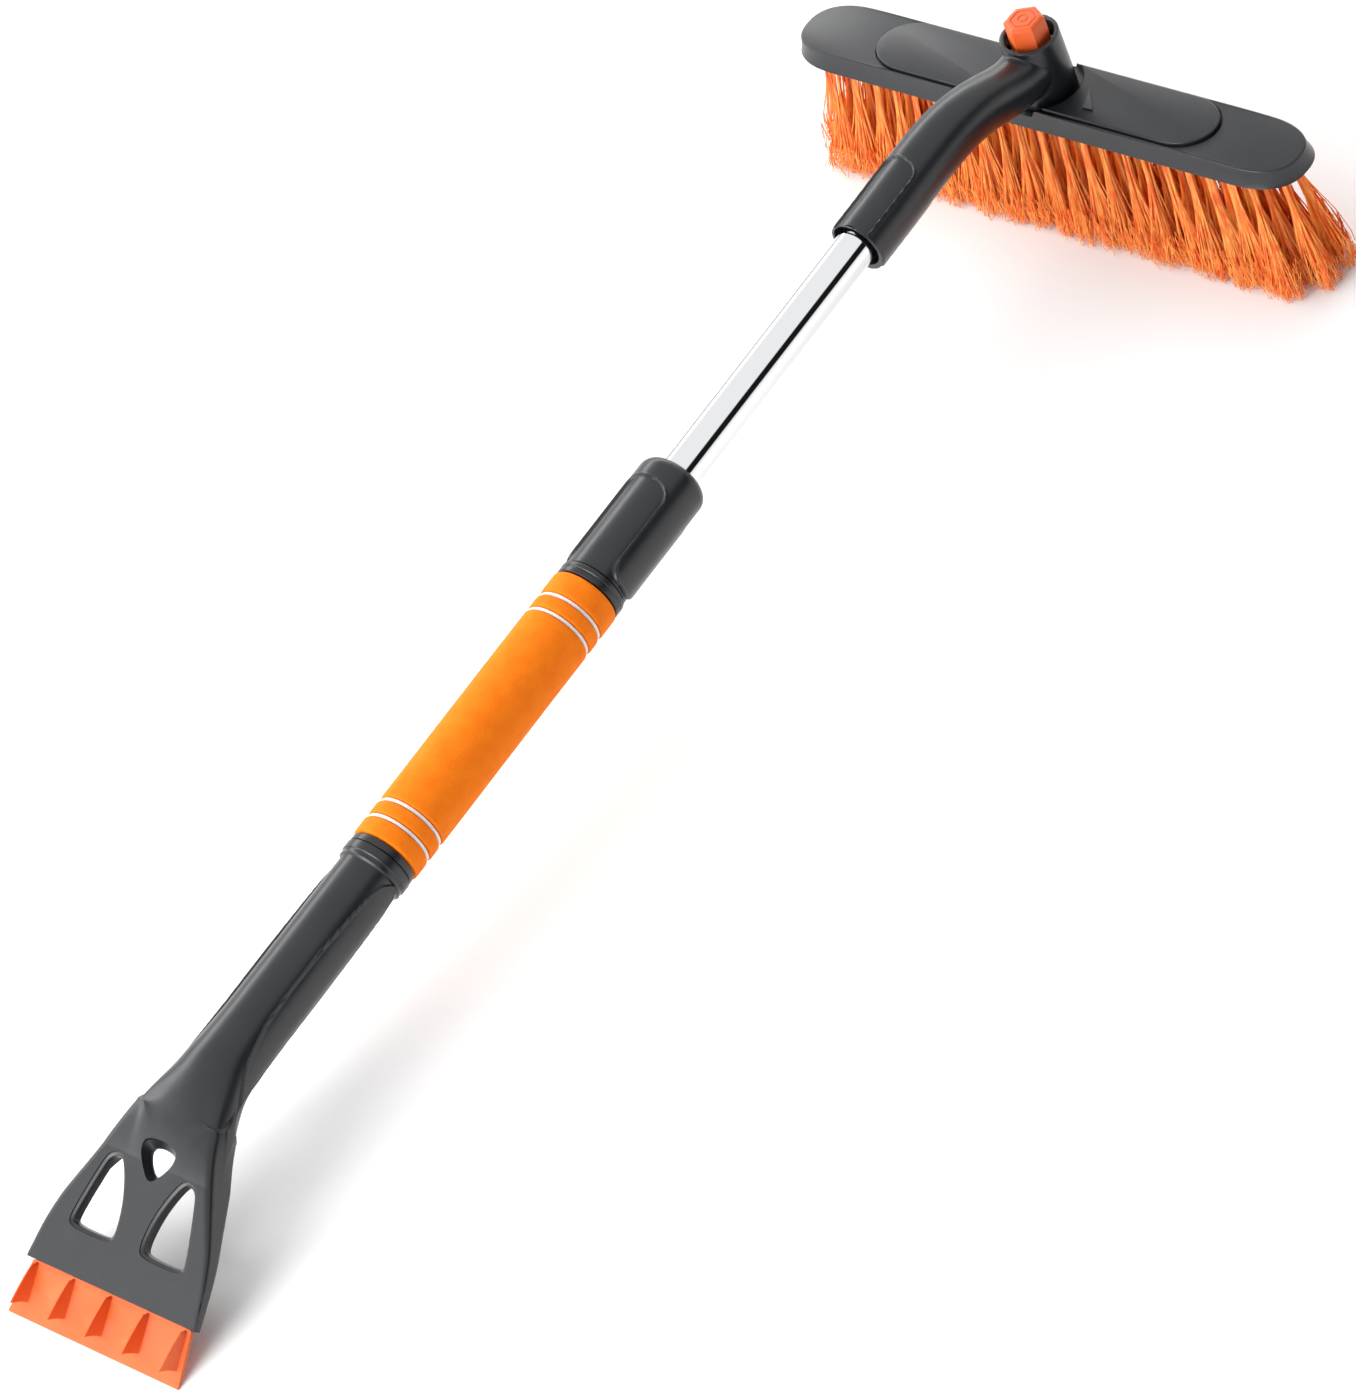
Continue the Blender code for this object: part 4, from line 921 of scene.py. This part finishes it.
def body_ring(station):
    """Section of the body: a circle on the sleeve, which turns into the flat head's."""
    half_width = half_width_at(station)
    half_height = half_height_at(station)
    if station <= FLANGE_END:
        half_width = half_height = BODY_RADIUS + FLANGE_STEP
    angles = np.linspace(0.0, 2 * math.pi, OVAL_STEPS, endpoint=False)
    oval = np.stack([half_width * np.cos(angles), half_height * np.sin(angles)], 1)
    oval = spread_evenly(oval, COLUMNS)
    flat = float(ease((station - SQUARE_START) / (SQUARE_END - SQUARE_START)))
    if flat > 0.0:
        crisp, soft = HEAD_TOP_CORNER
        high = crisp + (soft - crisp) * (1 - float(ease((station - HEAD_BEND) / HEAD_END)))
        low = min(HEAD_LOW_CORNER, 2 * half_height - high - GAP)
        square = spread_evenly(flat_section(half_width, half_height, high, low), COLUMNS)
        return oval * (1 - flat) + square * flat
    return oval


def body_pads(station, ring):
    """How far each point of a ring is sunk, as a distance inside the pads."""
    half_height = half_height_at(station)
    half_width = half_width_at(station)
    angle = np.degrees(np.arctan2(np.abs(ring[:, 1]) / half_height, np.abs(ring[:, 0]) / half_width))
    edge = soft_table(PANEL_EDGE, station, PANEL_WINDOW)
    side = np.radians(angle - edge) * half_height
    back = PAD_END_BACK * np.clip(1 - angle / PAD_END_ANGLE, 0.0, 1.0) ** PAD_END_POWER
    end = PAD_END - back - station
    start = station - PANEL_EDGE[0][0] + PAD_LEAD
    fading = ease((angle - PAD_END_ANGLE) / PAD_TOP_SPAN) + ease((PAD_SIDE_ANGLE - angle) / PAD_SIDE_ANGLE)
    end = end / (1 + PAD_END_FADE * fading)
    return np.minimum(np.minimum(side, end), start)


def body_grid():
    """The body's skin, ring by ring from the flange to the blade."""
    stations = [BODY_START, BODY_START + END_CHAMFER, FLANGE_END - END_CHAMFER, FLANGE_END]
    stations += list(stations_between(FLANGE_END + FLANGE_SLOPE, SQUARE_END))
    head_end = HEAD_BEND + HEAD_END
    stations += list(stations_between(SQUARE_END, head_end - 3 * HEAD_LAST_STEP, HEAD_RING_STEP))[1:]
    stations += [head_end - HEAD_LAST_STEP, head_end]
    rows = []
    for station in stations:
        centre, direction = body_path(station)
        across = direction.cross(Vector((1.0, 0.0, 0.0))).normalized()
        ring = body_ring(station)
        normal = widened(ring, 1.0) - ring
        inset = np.zeros(COLUMNS)
        if FLANGE_END < station < PADS_STOP:
            inset = sink(body_pads(station, ring))
        if station in (BODY_START, FLANGE_END, head_end):
            inset = inset + END_CHAMFER
        ring = ring - normal * inset[:, None]
        rows.append([centre + Vector((x, 0.0, 0.0)) + across * y for x, y in ring])
    return np.array(rows)


def head_form(name, outlines):
    """A closed form over the scraper head from (outline, lift) rings of (across, along) points."""
    rings = []
    for outline, lift in outlines:
        outline = np.asarray(outline)
        rings.append(np.stack([outline[:, 0], np.full(len(outline), lift), outline[:, 1]], 1))
    return make_form(name, *skin(np.array(rings)), HEAD)


def window_cutter(name, side):
    """Cutter for a window with a sloping rim; side is 1 for the right one and -1 for the left."""
    outline = soften(WINDOW, 3) * (side, 1)
    return head_form(name, [(widened(outline, wider), lift) for wider, lift in WINDOW_PROFILE])


def shield_cutter():
    """Cutter for the shield-shaped hole and the hollow round it."""
    hole = soften(mirrored(SHIELD_HOLE), 3)
    rim = soften(mirrored(SHIELD_RIM), 3)
    return head_form("shield", [(hole + (rim - hole) * share, lift) for share, lift in SHIELD_PROFILE])


def underside_hollow():
    """Cutter for the hollow under the head."""
    half = [(across, along) for along, across in HOLLOW]
    outline = soften(mirrored([(0.0, half[0][1])] + half + [(0.0, half[-1][1])]), 2)
    return head_form("hollow", [(outline, HOLLOW_MOUTH), (outline, HOLLOW_ROOF)])


def blade_slot():
    """Cutter for the slot that holds the blade's tongue."""
    half = BLADE_HALF_ROOT - SLOT_INSET
    start = HEAD_END - BLADE_TONGUE
    end = HEAD_END + BEYOND
    outline = [(-half, end), (half, end), (half, start), (-half, start)]
    low = -BLADE_TOP - BLADE_THICKNESS - GAP
    return head_form("blade_slot", [(outline, low), (outline, -BLADE_TOP + GAP)])


def scraper_body():
    """One moulding: a sleeve on the outer tube and the flat head that holds the blade."""
    form = make_form("body_shell", *skin(body_grid()), HANDLE)
    bore = OUTER_TUBE_RADIUS + GAP
    tools = [
        plug("body_socket", [(bore, BODY_START - BEYOND), (bore, OUTER_TUBE_END + GAP)], 96, HANDLE),
        window_cutter("window_right", 1), window_cutter("window_left", -1), shield_cutter(),
        blade_slot(), underside_hollow(), screw_well("body_well", HANDLE_SCREW),
    ]
    combine(form, tools)
    finish_piece(form, "black_plastic", "handle", ["scraper_body"])


def blade_tooth(index):
    """A curved fin: it rises fast, thickens towards the edge and leans past its foot."""
    middle = (index - (TOOTH_COUNT - 1) / 2) * TOOTH_PITCH
    start_base, foot_base = TOOTH_BASE
    jump, jump_length = TOOTH_JUMP
    by_length, by_height = TOOTH_LEANS
    rise = np.linspace(0.0, 1.0, TOOTH_LEVELS)
    rings = []
    for share in np.linspace(0.0, 1.0, TOOTH_RINGS):
        along = TOOTH_START + (TOOTH_FOOT - TOOTH_START) * share
        climb = jump * min(1.0, share / jump_length) ** 0.5 + (1 - jump) * share ** TOOTH_CLIMB
        base = start_base + (foot_base - start_base) * share
        half = TOOTH_RIDGE + base * (1 - rise) ** TOOTH_FLARE
        lift = TOOTH_HEIGHT * climb * rise - TOOTH_SINK * (1 - rise) - BLADE_TOP
        lean = along + TOOTH_LEAN * share ** by_length * rise ** by_height
        right = np.stack([middle + half, lift, lean], 1)
        left = np.stack([middle - half, lift, lean], 1)[::-1]
        rings.append(np.vstack([right, left]))
    return make_form(f"tooth_{index}", *skin(np.array(rings)), HEAD)


def scraper_blade():
    """Blade with a tongue inside the head, a thin edge and five ice-breaking teeth."""
    tongue_half = BLADE_HALF_ROOT - TONGUE_INSET
    root = HEAD_END + GAP
    rows = (
        (HEAD_END - BLADE_TONGUE + GAP, tongue_half, BLADE_THICKNESS),
        (root, tongue_half, BLADE_THICKNESS),
        (root + BLADE_SHOULDER, BLADE_HALF_ROOT, BLADE_OPEN_THICKNESS),
        (BLADE_END - BLADE_BEVEL, BLADE_HALF_EDGE - BLADE_TAPER, BLADE_OPEN_THICKNESS),
        (BLADE_END, BLADE_HALF_EDGE, BLADE_EDGE),
    )
    rings = []
    for along, half, thickness in rows:
        low = -BLADE_TOP - thickness
        corners = ((-half, low), (half, low), (half, -BLADE_TOP), (-half, -BLADE_TOP))
        rings.append([(across, lift, along) for across, lift in corners])
    form = make_form("blade", *skin(np.array(rings)), HEAD)
    combine(form, [blade_tooth(index) for index in range(TOOTH_COUNT)], "UNION")
    round_edges(form, BLADE_ROUND, BLADE_SHARP)
    finish_piece(form, "orange_plastic", "handle", ["scraper_blade"])


# ---- neck and button ----------------------------------------------------------
def neck_rings():
    """Rings round the neck's curved path, from the socket's mouth to the boss."""
    path = spline(NECK_STATIONS, steps=16)
    centres = np.stack([np.zeros(len(path)), -path[:, 0], path[:, 1]], 1)
    slopes = np.gradient(centres, axis=0)
    slopes[0] = -np.array(PLATE.inverted().to_3x3() @ ALONG_HANDLE)
    slopes /= np.linalg.norm(slopes, axis=1)[:, None]
    across = np.cross([1.0, 0.0, 0.0], slopes)
    angles = np.linspace(0.0, 2 * math.pi, NECK_COLUMNS, endpoint=False)
    rings = []
    for centre, up, half in zip(centres, across, path[:, 2]):
        sides = np.outer(np.cos(angles), [half, 0.0, 0.0]) + np.outer(np.sin(angles), up * half)
        rings.append(centre + sides)
    return np.array(rings)


def sink_neck_pads(form):
    """Sinks the pads on the neck's top and bottom, from an arch to the socket's mouth."""
    mesh = form.data
    points = np.empty(len(mesh.vertices) * 3)
    normals = np.empty(len(mesh.vertices) * 3)
    mesh.vertices.foreach_get("co", points)
    mesh.vertices.foreach_get("normal", normals)
    points = points.reshape(-1, 3)
    normals = normals.reshape(-1, 3)
    inverse = np.array(HANDLE.inverted())
    across, up, station = (points @ inverse[:3, :3].T + inverse[:3, 3]).T
    distance = arch_distance(station, np.arctan2(up, across), NECK_PAD, NECK_STATIONS[0][2])
    before = station < NECK_PAD[0] - NECK_PAD_LEAD
    flat_end = np.abs(normals @ np.array(ALONG_HANDLE)) > FLAT_END_FACING
    distance[before | flat_end] = OUTSIDE
    mesh.vertices.foreach_set("co", (points - normals * sink(distance)[:, None]).ravel())
    mesh.update()


def gooseneck():
    """One moulding: a socket on the tube, a curved neck and the boss on the brush."""
    form = make_form("neck", *skin(neck_rings()), PLATE)
    boss = [(BOSS_LOW_RADIUS, BOSS_BOTTOM), (BOSS_HIGH_RADIUS, BOSS_HEIGHT)]
    combine(form, [plug("boss", boss, 96)], "UNION")
    remesh = form.modifiers.new("remesh", "REMESH")
    remesh.mode = "VOXEL"
    remesh.voxel_size = VOXEL
    settle(form)
    relax = form.modifiers.new("relax", "SMOOTH")
    relax.factor = 0.5
    relax.iterations = RELAX_ROUNDS
    settle(form)
    sink_neck_pads(form)
    socket = [(INNER_TUBE_RADIUS + wider, SOCKET_END + past) for wider, past in SOCKET_BORE]
    well = [
        (BOSS_BORE, WEB_TOP), (BOSS_BORE, BOSS_HEIGHT - BOSS_CHAMFER),
        (BOSS_BORE + BOSS_CHAMFER + CHAMFER_PAST, BOSS_HEIGHT + CHAMFER_PAST),
    ]
    hole = STUB_RADIUS + GAP
    tools = [
        plug("lower_cavity", [(LOWER_BORE, BOSS_BOTTOM - BEYOND), (LOWER_BORE, WEB_BOTTOM)]),
        plug("button_well", well, 96),
        plug("lug_ways", [(LUG_WAY_RADIUS, LUG_WAY_BOTTOM), (LUG_WAY_RADIUS, LUG_WAY_TOP)]),
        plug("web_hole", [(hole, 0.0), (hole, WEB_TOP + BEYOND)]),
        plug("neck_socket", socket, 96, HANDLE),
        screw_well("neck_well", NECK_SCREW),
    ]
    combine(form, tools)
    finish_piece(form, "black_plastic", "boom", ["gooseneck"])


def hexagon(reach, count=96):
    """A hexagon with rounded corners."""
    angles = 2 * math.pi * np.arange(count) / count
    fold = np.abs((angles % (math.pi / 3)) - math.pi / 6)
    flats = math.cos(math.pi / 6)
    sharp = flats / np.cos(math.pi / 6 - fold)
    radius = reach * (sharp * (1 - BUTTON_SOFTNESS) + BUTTON_SOFTNESS * flats * BUTTON_FULLNESS)
    return np.stack([radius * np.cos(angles), radius * np.sin(angles)], 1)


def push_button():
    """Six-sided cap with a wide bevel, a hexagon and a small ring engraved on top."""
    bottom = STUB_TOP + GAP
    top = BUTTON_TOP
    edge = BUTTON_REACH
    inside = edge - BUTTON_WALL
    bevel = BUTTON_BEVEL
    bead = BUTTON_ROUND
    groove = edge * BUTTON_GROOVE
    line = ENGRAVING
    profile = [
        (inside, top - BUTTON_ROOF), (inside, bottom), (edge, bottom),
        (edge, top - bevel - 1.5 * bead), (edge - bead, top - bevel + bead),
        (edge - bevel + bead, top - bead), (edge - bevel - 2 * bead, top),
        (groove + line, top), (groove + line / 2, top - line),
        (groove - line / 2, top - line), (groove - line, top),
    ]
    form = make_form("button", *skin(np.array([raised(hexagon(reach), z) for reach, z in profile])), PLATE)
    wide = BUTTON_RING + 2 * bead
    thin = BUTTON_RING - 2 * bead
    over = top + 5 * bead
    ring = [
        (wide, over), (wide, top - bead), (BUTTON_RING + bead, top - line),
        (BUTTON_RING - bead, top - line), (thin, top - bead), (thin, over),
    ]
    combine(form, [turned("button_ring", ring, 48, PLATE)])
    finish_piece(form, "orange_plastic", "button", ["push_button"])


# ---- brush head ---------------------------------------------------------------
def oval(length, width, end, squareness=2.0, arc=32, straight=24):
    """Outline of a plate with straight sides and rounded ends, from the right end's lower corner."""
    turns = np.linspace(-math.pi / 2, math.pi / 2, arc + 1)
    out = np.abs(np.cos(turns)) ** (2 / squareness)
    side = np.sign(turns) * np.abs(np.sin(turns)) ** (2 / squareness)
    right = np.stack([length / 2 - end + end * out, width / 2 * side], 1)
    reach = length / 2 - end
    top = np.stack([np.linspace(reach, -reach, straight + 1)[1:-1], np.full(straight - 1, width / 2)], 1)
    return np.vstack([right, top, -right, -top])


def plate_ring(inset, height, slope=1.0):
    """A ring round the brush plate; the plate's ends slope down a little."""
    ring = oval(BRUSH_LENGTH - 2 * inset, BRUSH_WIDTH - 2 * inset, BRUSH_END - inset, BRUSH_SQUARENESS)
    span = BRUSH_LENGTH / 2 - END_SLOPE_START
    past = np.clip((np.abs(ring[:, 0]) - END_SLOPE_START) / span, 0.0, 1.0)
    return raised(ring, height) - np.outer(END_SLOPE_DROP * past ** END_SLOPE_POWER * slope, (0, 0, 1))


def platform_ring(inset, height):
    return raised(oval(PLATFORM_LENGTH - 2 * inset, PLATFORM_WIDTH - 2 * inset, PLATFORM_END - inset), height)


def cover_rings():
    """The cover's skin, from the hollow under it, round the skirt, to the platform's top."""
    rings = [plate_ring(COVER_WALL, -COVER_TOP, 0.0), plate_ring(COVER_WALL, -SKIRT_DEPTH, 0.0)]
    rings.append(plate_ring(-SKIRT_FLARE + SKIRT_RIM, -SKIRT_DEPTH, 0.0))
    rings.append(plate_ring(-SKIRT_FLARE, -SKIRT_DEPTH + SKIRT_RIM, 0.0))
    for share in SKIRT_SHARES:
        flare = SKIRT_FLARE * (1 - share) ** SKIRT_POWER
        rings.append(plate_ring(-flare, -SKIRT_DEPTH * (1 - share) - PLATE_ROUND * share, share))
    for turn in np.radians(np.linspace(0, 90, 6)):
        inset = PLATE_ROUND * (1 - math.cos(turn))
        rings.append(plate_ring(inset, -PLATE_ROUND * (1 - math.sin(turn))))
    groove = GROOVE_AROUND
    lip = GROOVE_AROUND_ROUND
    rings += [platform_ring(-groove - lip, 0.0), platform_ring(-groove, -lip)]
    rings += [platform_ring(-groove / 2, -GROOVE_AROUND_DEPTH), platform_ring(0.0, -GROOVE_AROUND_DEPTH)]
    edge = PLATFORM_ROUND
    for turn in np.radians(np.linspace(0, 90, 5)):
        rings.append(platform_ring(edge * (1 - math.cos(turn)), PLATFORM_RISE - edge * (1 - math.sin(turn))))
    return np.array(rings)


def ridge():
    """A small three-sided ridge on the plate beside the pivot."""
    base = [(across, along, 0.0) for across, along, _ in RIDGE]
    return make_form("ridge", *skin(np.array([base, RIDGE])), PLATE)


def brush_cover():
    """Cover plate with a skirt, a raised oval, a round seat for the neck and its post."""
    form = make_form("cover", *skin(cover_rings()), PLATE)
    reach = POCKET_RADIUS + SEAT_WALL
    seat = plug("seat", [(reach, -POCKET_DEPTH - SEAT_WALL), (reach, SEAT_TOP)], 96)
    bound_ring = oval(BRUSH_LENGTH - COVER_WALL, BRUSH_WIDTH - COVER_WALL, BRUSH_END)
    bound = np.array([raised(bound_ring, height) for height in (-2 * BEYOND, BEYOND)])
    combine(seat, [make_form("bound", *skin(bound), PLATE)], "INTERSECT")
    combine(form, [seat, ridge()], "UNION")
    chamfer = POCKET_CHAMFER
    pocket = [
        (POCKET_RADIUS - chamfer, -POCKET_DEPTH), (POCKET_RADIUS, -POCKET_DEPTH + chamfer),
        (POCKET_RADIUS, PLATFORM_RISE - chamfer), (POCKET_RADIUS + 2 * chamfer, PLATFORM_RISE + chamfer),
    ]
    combine(form, [plug("pocket", pocket, 128)])
    post = [
        (POST_RADIUS, -POCKET_DEPTH - POST_ROOT), (POST_RADIUS, WEB_BOTTOM - GAP),
        (STUB_RADIUS, WEB_BOTTOM - GAP), (STUB_RADIUS, STUB_TOP),
    ]
    combine(form, [plug("post", post)], "UNION")
    hole = [(POST_HOLE_RADIUS, POST_HOLE_BOTTOM), (POST_HOLE_RADIUS, STUB_TOP + BEYOND)]
    bores = [plug("post_hole", hole, 24)]
    hole = [(BLOCK_SCREW_HOLE, -2 * BEYOND), (BLOCK_SCREW_HOLE, BLOCK_SCREW_HOLE_TOP)]
    for across in BLOCK_SCREW_PLACES:
        bores.append(plug("cover_hole", hole, 16, PLATE @ Matrix.Translation((across, 0.0, 0.0))))
    combine(form, bores)
    finish_piece(form, "black_plastic", "brush", ["brush_cover"])


# ---- bristles -----------------------------------------------------------------
def strand_paths(offset, tufts, draw):
    """Middle lines and thicknesses of all the filaments in one row, in the plate's axes."""
    top = -BLOCK_BOTTOM - GAP
    length = PIVOT.z + top
    t = np.linspace(0.0, 1.0, FILAMENT_RINGS) ** RING_POWER
    count = tufts * CLUMPS * CLUMP_FILAMENTS
    tuft = np.repeat((np.arange(tufts) - (tufts - 1) / 2) * TUFT_PITCH, CLUMPS * CLUMP_FILAMENTS)
    clump = np.repeat(np.arange(tufts * CLUMPS), CLUMP_FILAMENTS)

    def in_disc(number):
        turn = draw.uniform(0, 2 * math.pi, number)
        return np.sqrt(draw.uniform(0, 1, number)) * np.array([np.cos(turn), np.sin(turn)])

    clump_place = in_disc(tufts * CLUMPS)[:, clump]
    own = in_disc(count)
    root, tip = (clump_place * a + own * b for a, b in zip(PLACE_BY_CLUMP, PLACE_BY_ITSELF))
    swing = draw.normal(0, 1, (2, tufts * CLUMPS))[:, clump] * CLUMP_SWING
    swing[0] += np.repeat(draw.normal(0, TUFT_SWING, tufts), CLUMPS * CLUMP_FILAMENTS)
    phase = draw.uniform(0, 2 * math.pi, (4, count))
    curl = CURL[0] + CURL[1] * draw.uniform(0, 1, count) ** 2
    short = 1.0 - SHORTEST * draw.uniform(0, 1, count) ** 2
    spread = ease((t - SPREAD_START) / (1 - SPREAD_START))
    curling = ease((t - CURL_START) / (1 - CURL_START)) ** CURL_POWER
    wander = WANDER * np.sin(math.pi * t)
    half_root = (TUFT_ROOT / 2 - ROOT_INSET, ROW_THICKNESS / 2 - ROOT_INSET)
    half_tip = (TUFT_PITCH * TUFT_REACH, ROW_THICKNESS * ROW_SPREAD)
    middle = (tuft[:, None] * (1 + TUFT_LEAN * t), offset * (1 + ROW_FLARE * t))
    places = []
    for side in (0, 1):
        place = middle[side] + root[side][:, None] * half_root[side] * (1 - spread)
        place = place + (tip[side] * half_tip[side] + swing[side])[:, None] * spread
        place = place + curl[:, None] * curling * np.sin(CURL_WAVES[side] * t + phase[side][:, None])
        places.append(place + wander * np.sin(WANDER_WAVES[side] * t + phase[2 + side][:, None]))
    height = top - length * t * short[:, None]
    return limited(*places, height), FILAMENT_ROOT + (FILAMENT_TIP - FILAMENT_ROOT) * t


def fray_paths(offset, tufts, draw):
    """Middle lines of the thin curled ends between the tufts' tips."""
    count = tufts * FRAY_COUNT
    tuft = np.repeat((np.arange(tufts) - (tufts - 1) / 2) * TUFT_PITCH, FRAY_COUNT)
    t = np.linspace(0.0, 1.0, FRAY_RINGS)[None, :]
    length = FRAY_LENGTH * draw.uniform(FRAY_SHORTEST, 1.0, count)[:, None]
    x = tuft * (1 + TUFT_LEAN) + draw.uniform(-FRAY_ALONG, FRAY_ALONG, count) * TUFT_PITCH
    y = offset * (1 + ROW_FLARE) + draw.uniform(-FRAY_ACROSS, FRAY_ACROSS, count) * ROW_THICKNESS
    aim = draw.normal(0, FRAY_AIM, (2, count))
    size = draw.uniform(*FRAY_CURL, (2, count))
    phase = draw.uniform(0, 2 * math.pi, (2, count))
    turns = draw.uniform(*FRAY_WAVES, count)[:, None]
    reach = np.stack([x, y])[:, :, None] + aim[:, :, None] * (t - FRAY_HUB)
    reach = reach + size[:, :, None] * t * np.sin(turns * t + phase[:, :, None])
    lean = TUFT_LEAN * tuft[:, None] * (1 - t) * length / PIVOT.z
    low = draw.uniform(0.0, FRAY_LIFT, count)[:, None] - PIVOT.z
    return limited(reach[0] - lean, reach[1], low + length * (1 - t)), np.full(FRAY_RINGS, FRAY_RADIUS)


def limited(x, y, z):
    """Points kept inside the brush's own box."""
    side = CAD_BOX[1][0] - FILAMENT_ROOT
    far = CAD_BOX[1][1] - PIVOT.y - FILAMENT_ROOT
    kept = (np.clip(x, -side, side), np.clip(y, -BRISTLE_FRONT, far), np.clip(z, -PIVOT.z, 0.0))
    return np.stack(kept, -1)


def filaments(paths, radius, first):
    """Points and faces of thin rods along the paths; first is the index of their first point."""
    count, rings, _ = paths.shape
    turns = 2 * math.pi * np.arange(FILAMENT_SIDES) / FILAMENT_SIDES
    sides = np.stack([np.cos(turns), np.sin(turns), 0 * turns], 1)
    points = paths[:, :, None, :] + radius[None, :, None, None] * sides[None, None, :, :]
    index = first + np.arange(count * rings * FILAMENT_SIDES).reshape(count, rings, FILAMENT_SIDES)
    here = index[:, :-1]
    after = index[:, 1:]
    quads = np.stack([here, np.roll(here, -1, 2), np.roll(after, -1, 2), after], -1).reshape(-1, 4).tolist()
    return points.reshape(-1, 3), quads + index[:, 0, ::-1].tolist() + index[:, -1].tolist()


def bristle_row(index, offset, tufts):
    """One row of tufts, each a bundle of filaments that frays towards its tips."""
    draw = np.random.default_rng(SEED + index)
    points, faces = filaments(*strand_paths(offset, tufts, draw), 0)
    more_points, more_faces = filaments(*fray_paths(offset, tufts, draw), len(points))
    form = make_form(f"bristles_{index}", np.vstack([points, more_points]), faces + more_faces, PLATE)
    finish_piece(form, "bristle", "brush", [f"bristle_row_{index}"], FILAMENT_SHARP)


# ---- stage and light ----------------------------------------------------------
def make_floor():
    half = FLOOR_HALF
    corners = [(-half, -half, 0.0), (half, -half, 0.0), (half, half, 0.0), (-half, half, 0.0)]
    mesh = bpy.data.meshes.new("floor")
    mesh.from_pydata(corners, [], [(0, 1, 2, 3)])
    mesh.materials.append(Shader("floor", (0.96, 0.96, 0.96), 0.9).material)
    floor = bpy.data.objects.new("floor", mesh)
    bpy.context.scene.collection.objects.link(floor)


def studio_ramp(nodes, links, angle, studio):
    """A background whose brightness follows the height angle."""
    ramp = nodes.new("ShaderNodeValToRGB")
    stops = ramp.color_ramp.elements
    peak = max(light for _, light in studio)
    while len(stops) < len(studio):
        stops.new(1.0)
    for stop, (degrees, light) in zip(stops, studio):
        stop.position = degrees / 180.0
        stop.color = (light / peak, light / peak, light / peak, 1.0)
    links.new(angle, ramp.inputs["Fac"])
    background = nodes.new("ShaderNodeBackground")
    links.new(ramp.outputs["Color"], background.inputs["Color"])
    background.inputs["Strength"].default_value = peak
    return background.outputs["Background"]


def make_soft_light():
    """A broad lamp low in front of the handle, which lights the bristles and the teeth."""
    data = bpy.data.lights.new("soft_light", "AREA")
    data.energy = SOFT_LIGHT_POWER
    data.size = SOFT_LIGHT_SIZE
    lamp = bpy.data.objects.new("soft_light", data)
    bpy.context.scene.collection.objects.link(lamp)
    aim = (Vector(SOFT_LIGHT_PLACE) - PIVOT).to_track_quat("Z", "Y")
    lamp.matrix_world = Matrix.Translation(SOFT_LIGHT_PLACE) @ aim.to_matrix().to_4x4()


def make_light():
    """The studio: one brightness by height for what it lights, another for what it mirrors."""
    world = bpy.data.worlds.new("studio")
    world.use_nodes = True
    nodes = world.node_tree.nodes
    links = world.node_tree.links
    place = nodes.new("ShaderNodeTexCoord").outputs["Generated"]
    parts = nodes.new("ShaderNodeSeparateXYZ")
    links.new(place, parts.inputs["Vector"])
    angle = nodes.new("ShaderNodeMath")
    angle.operation = "ARCTAN2"
    links.new(parts.outputs["Z"], angle.inputs[0])
    links.new(parts.outputs["X"], angle.inputs[1])
    span = nodes.new("ShaderNodeMapRange")
    span.inputs["From Max"].default_value = math.pi
    links.new(angle.outputs["Value"], span.inputs["Value"])
    mix = nodes.new("ShaderNodeMixShader")
    links.new(nodes.new("ShaderNodeLightPath").outputs["Is Glossy Ray"], mix.inputs["Fac"])
    links.new(studio_ramp(nodes, links, span.outputs["Result"], STUDIO), mix.inputs[1])
    links.new(studio_ramp(nodes, links, span.outputs["Result"], STUDIO_REFLECTED), mix.inputs[2])
    links.new(mix.outputs["Shader"], nodes["World Output"].inputs["Surface"])
    nodes.remove(nodes["Background"])
    bpy.context.scene.world = world
    bpy.context.scene.view_settings.view_transform = "Standard"
    bpy.context.scene.view_settings.look = "None"


def build():
    make_camera()
    dress_cad_nodes()
    twist_collar()
    foam_grip()
    for index, station in enumerate(STRIPE_STATIONS):
        grip_stripe(index + 1, station)
    grip_end_ring()
    tube_ferrule()
    inner_tube()
    scraper_body()
    scraper_blade()
    gooseneck()
    push_button()
    brush_cover()
    for index, (offset, tufts) in enumerate(ROWS):
        bristle_row(index + 1, offset, tufts)
    make_floor()
    make_soft_light()
    make_light()


build()
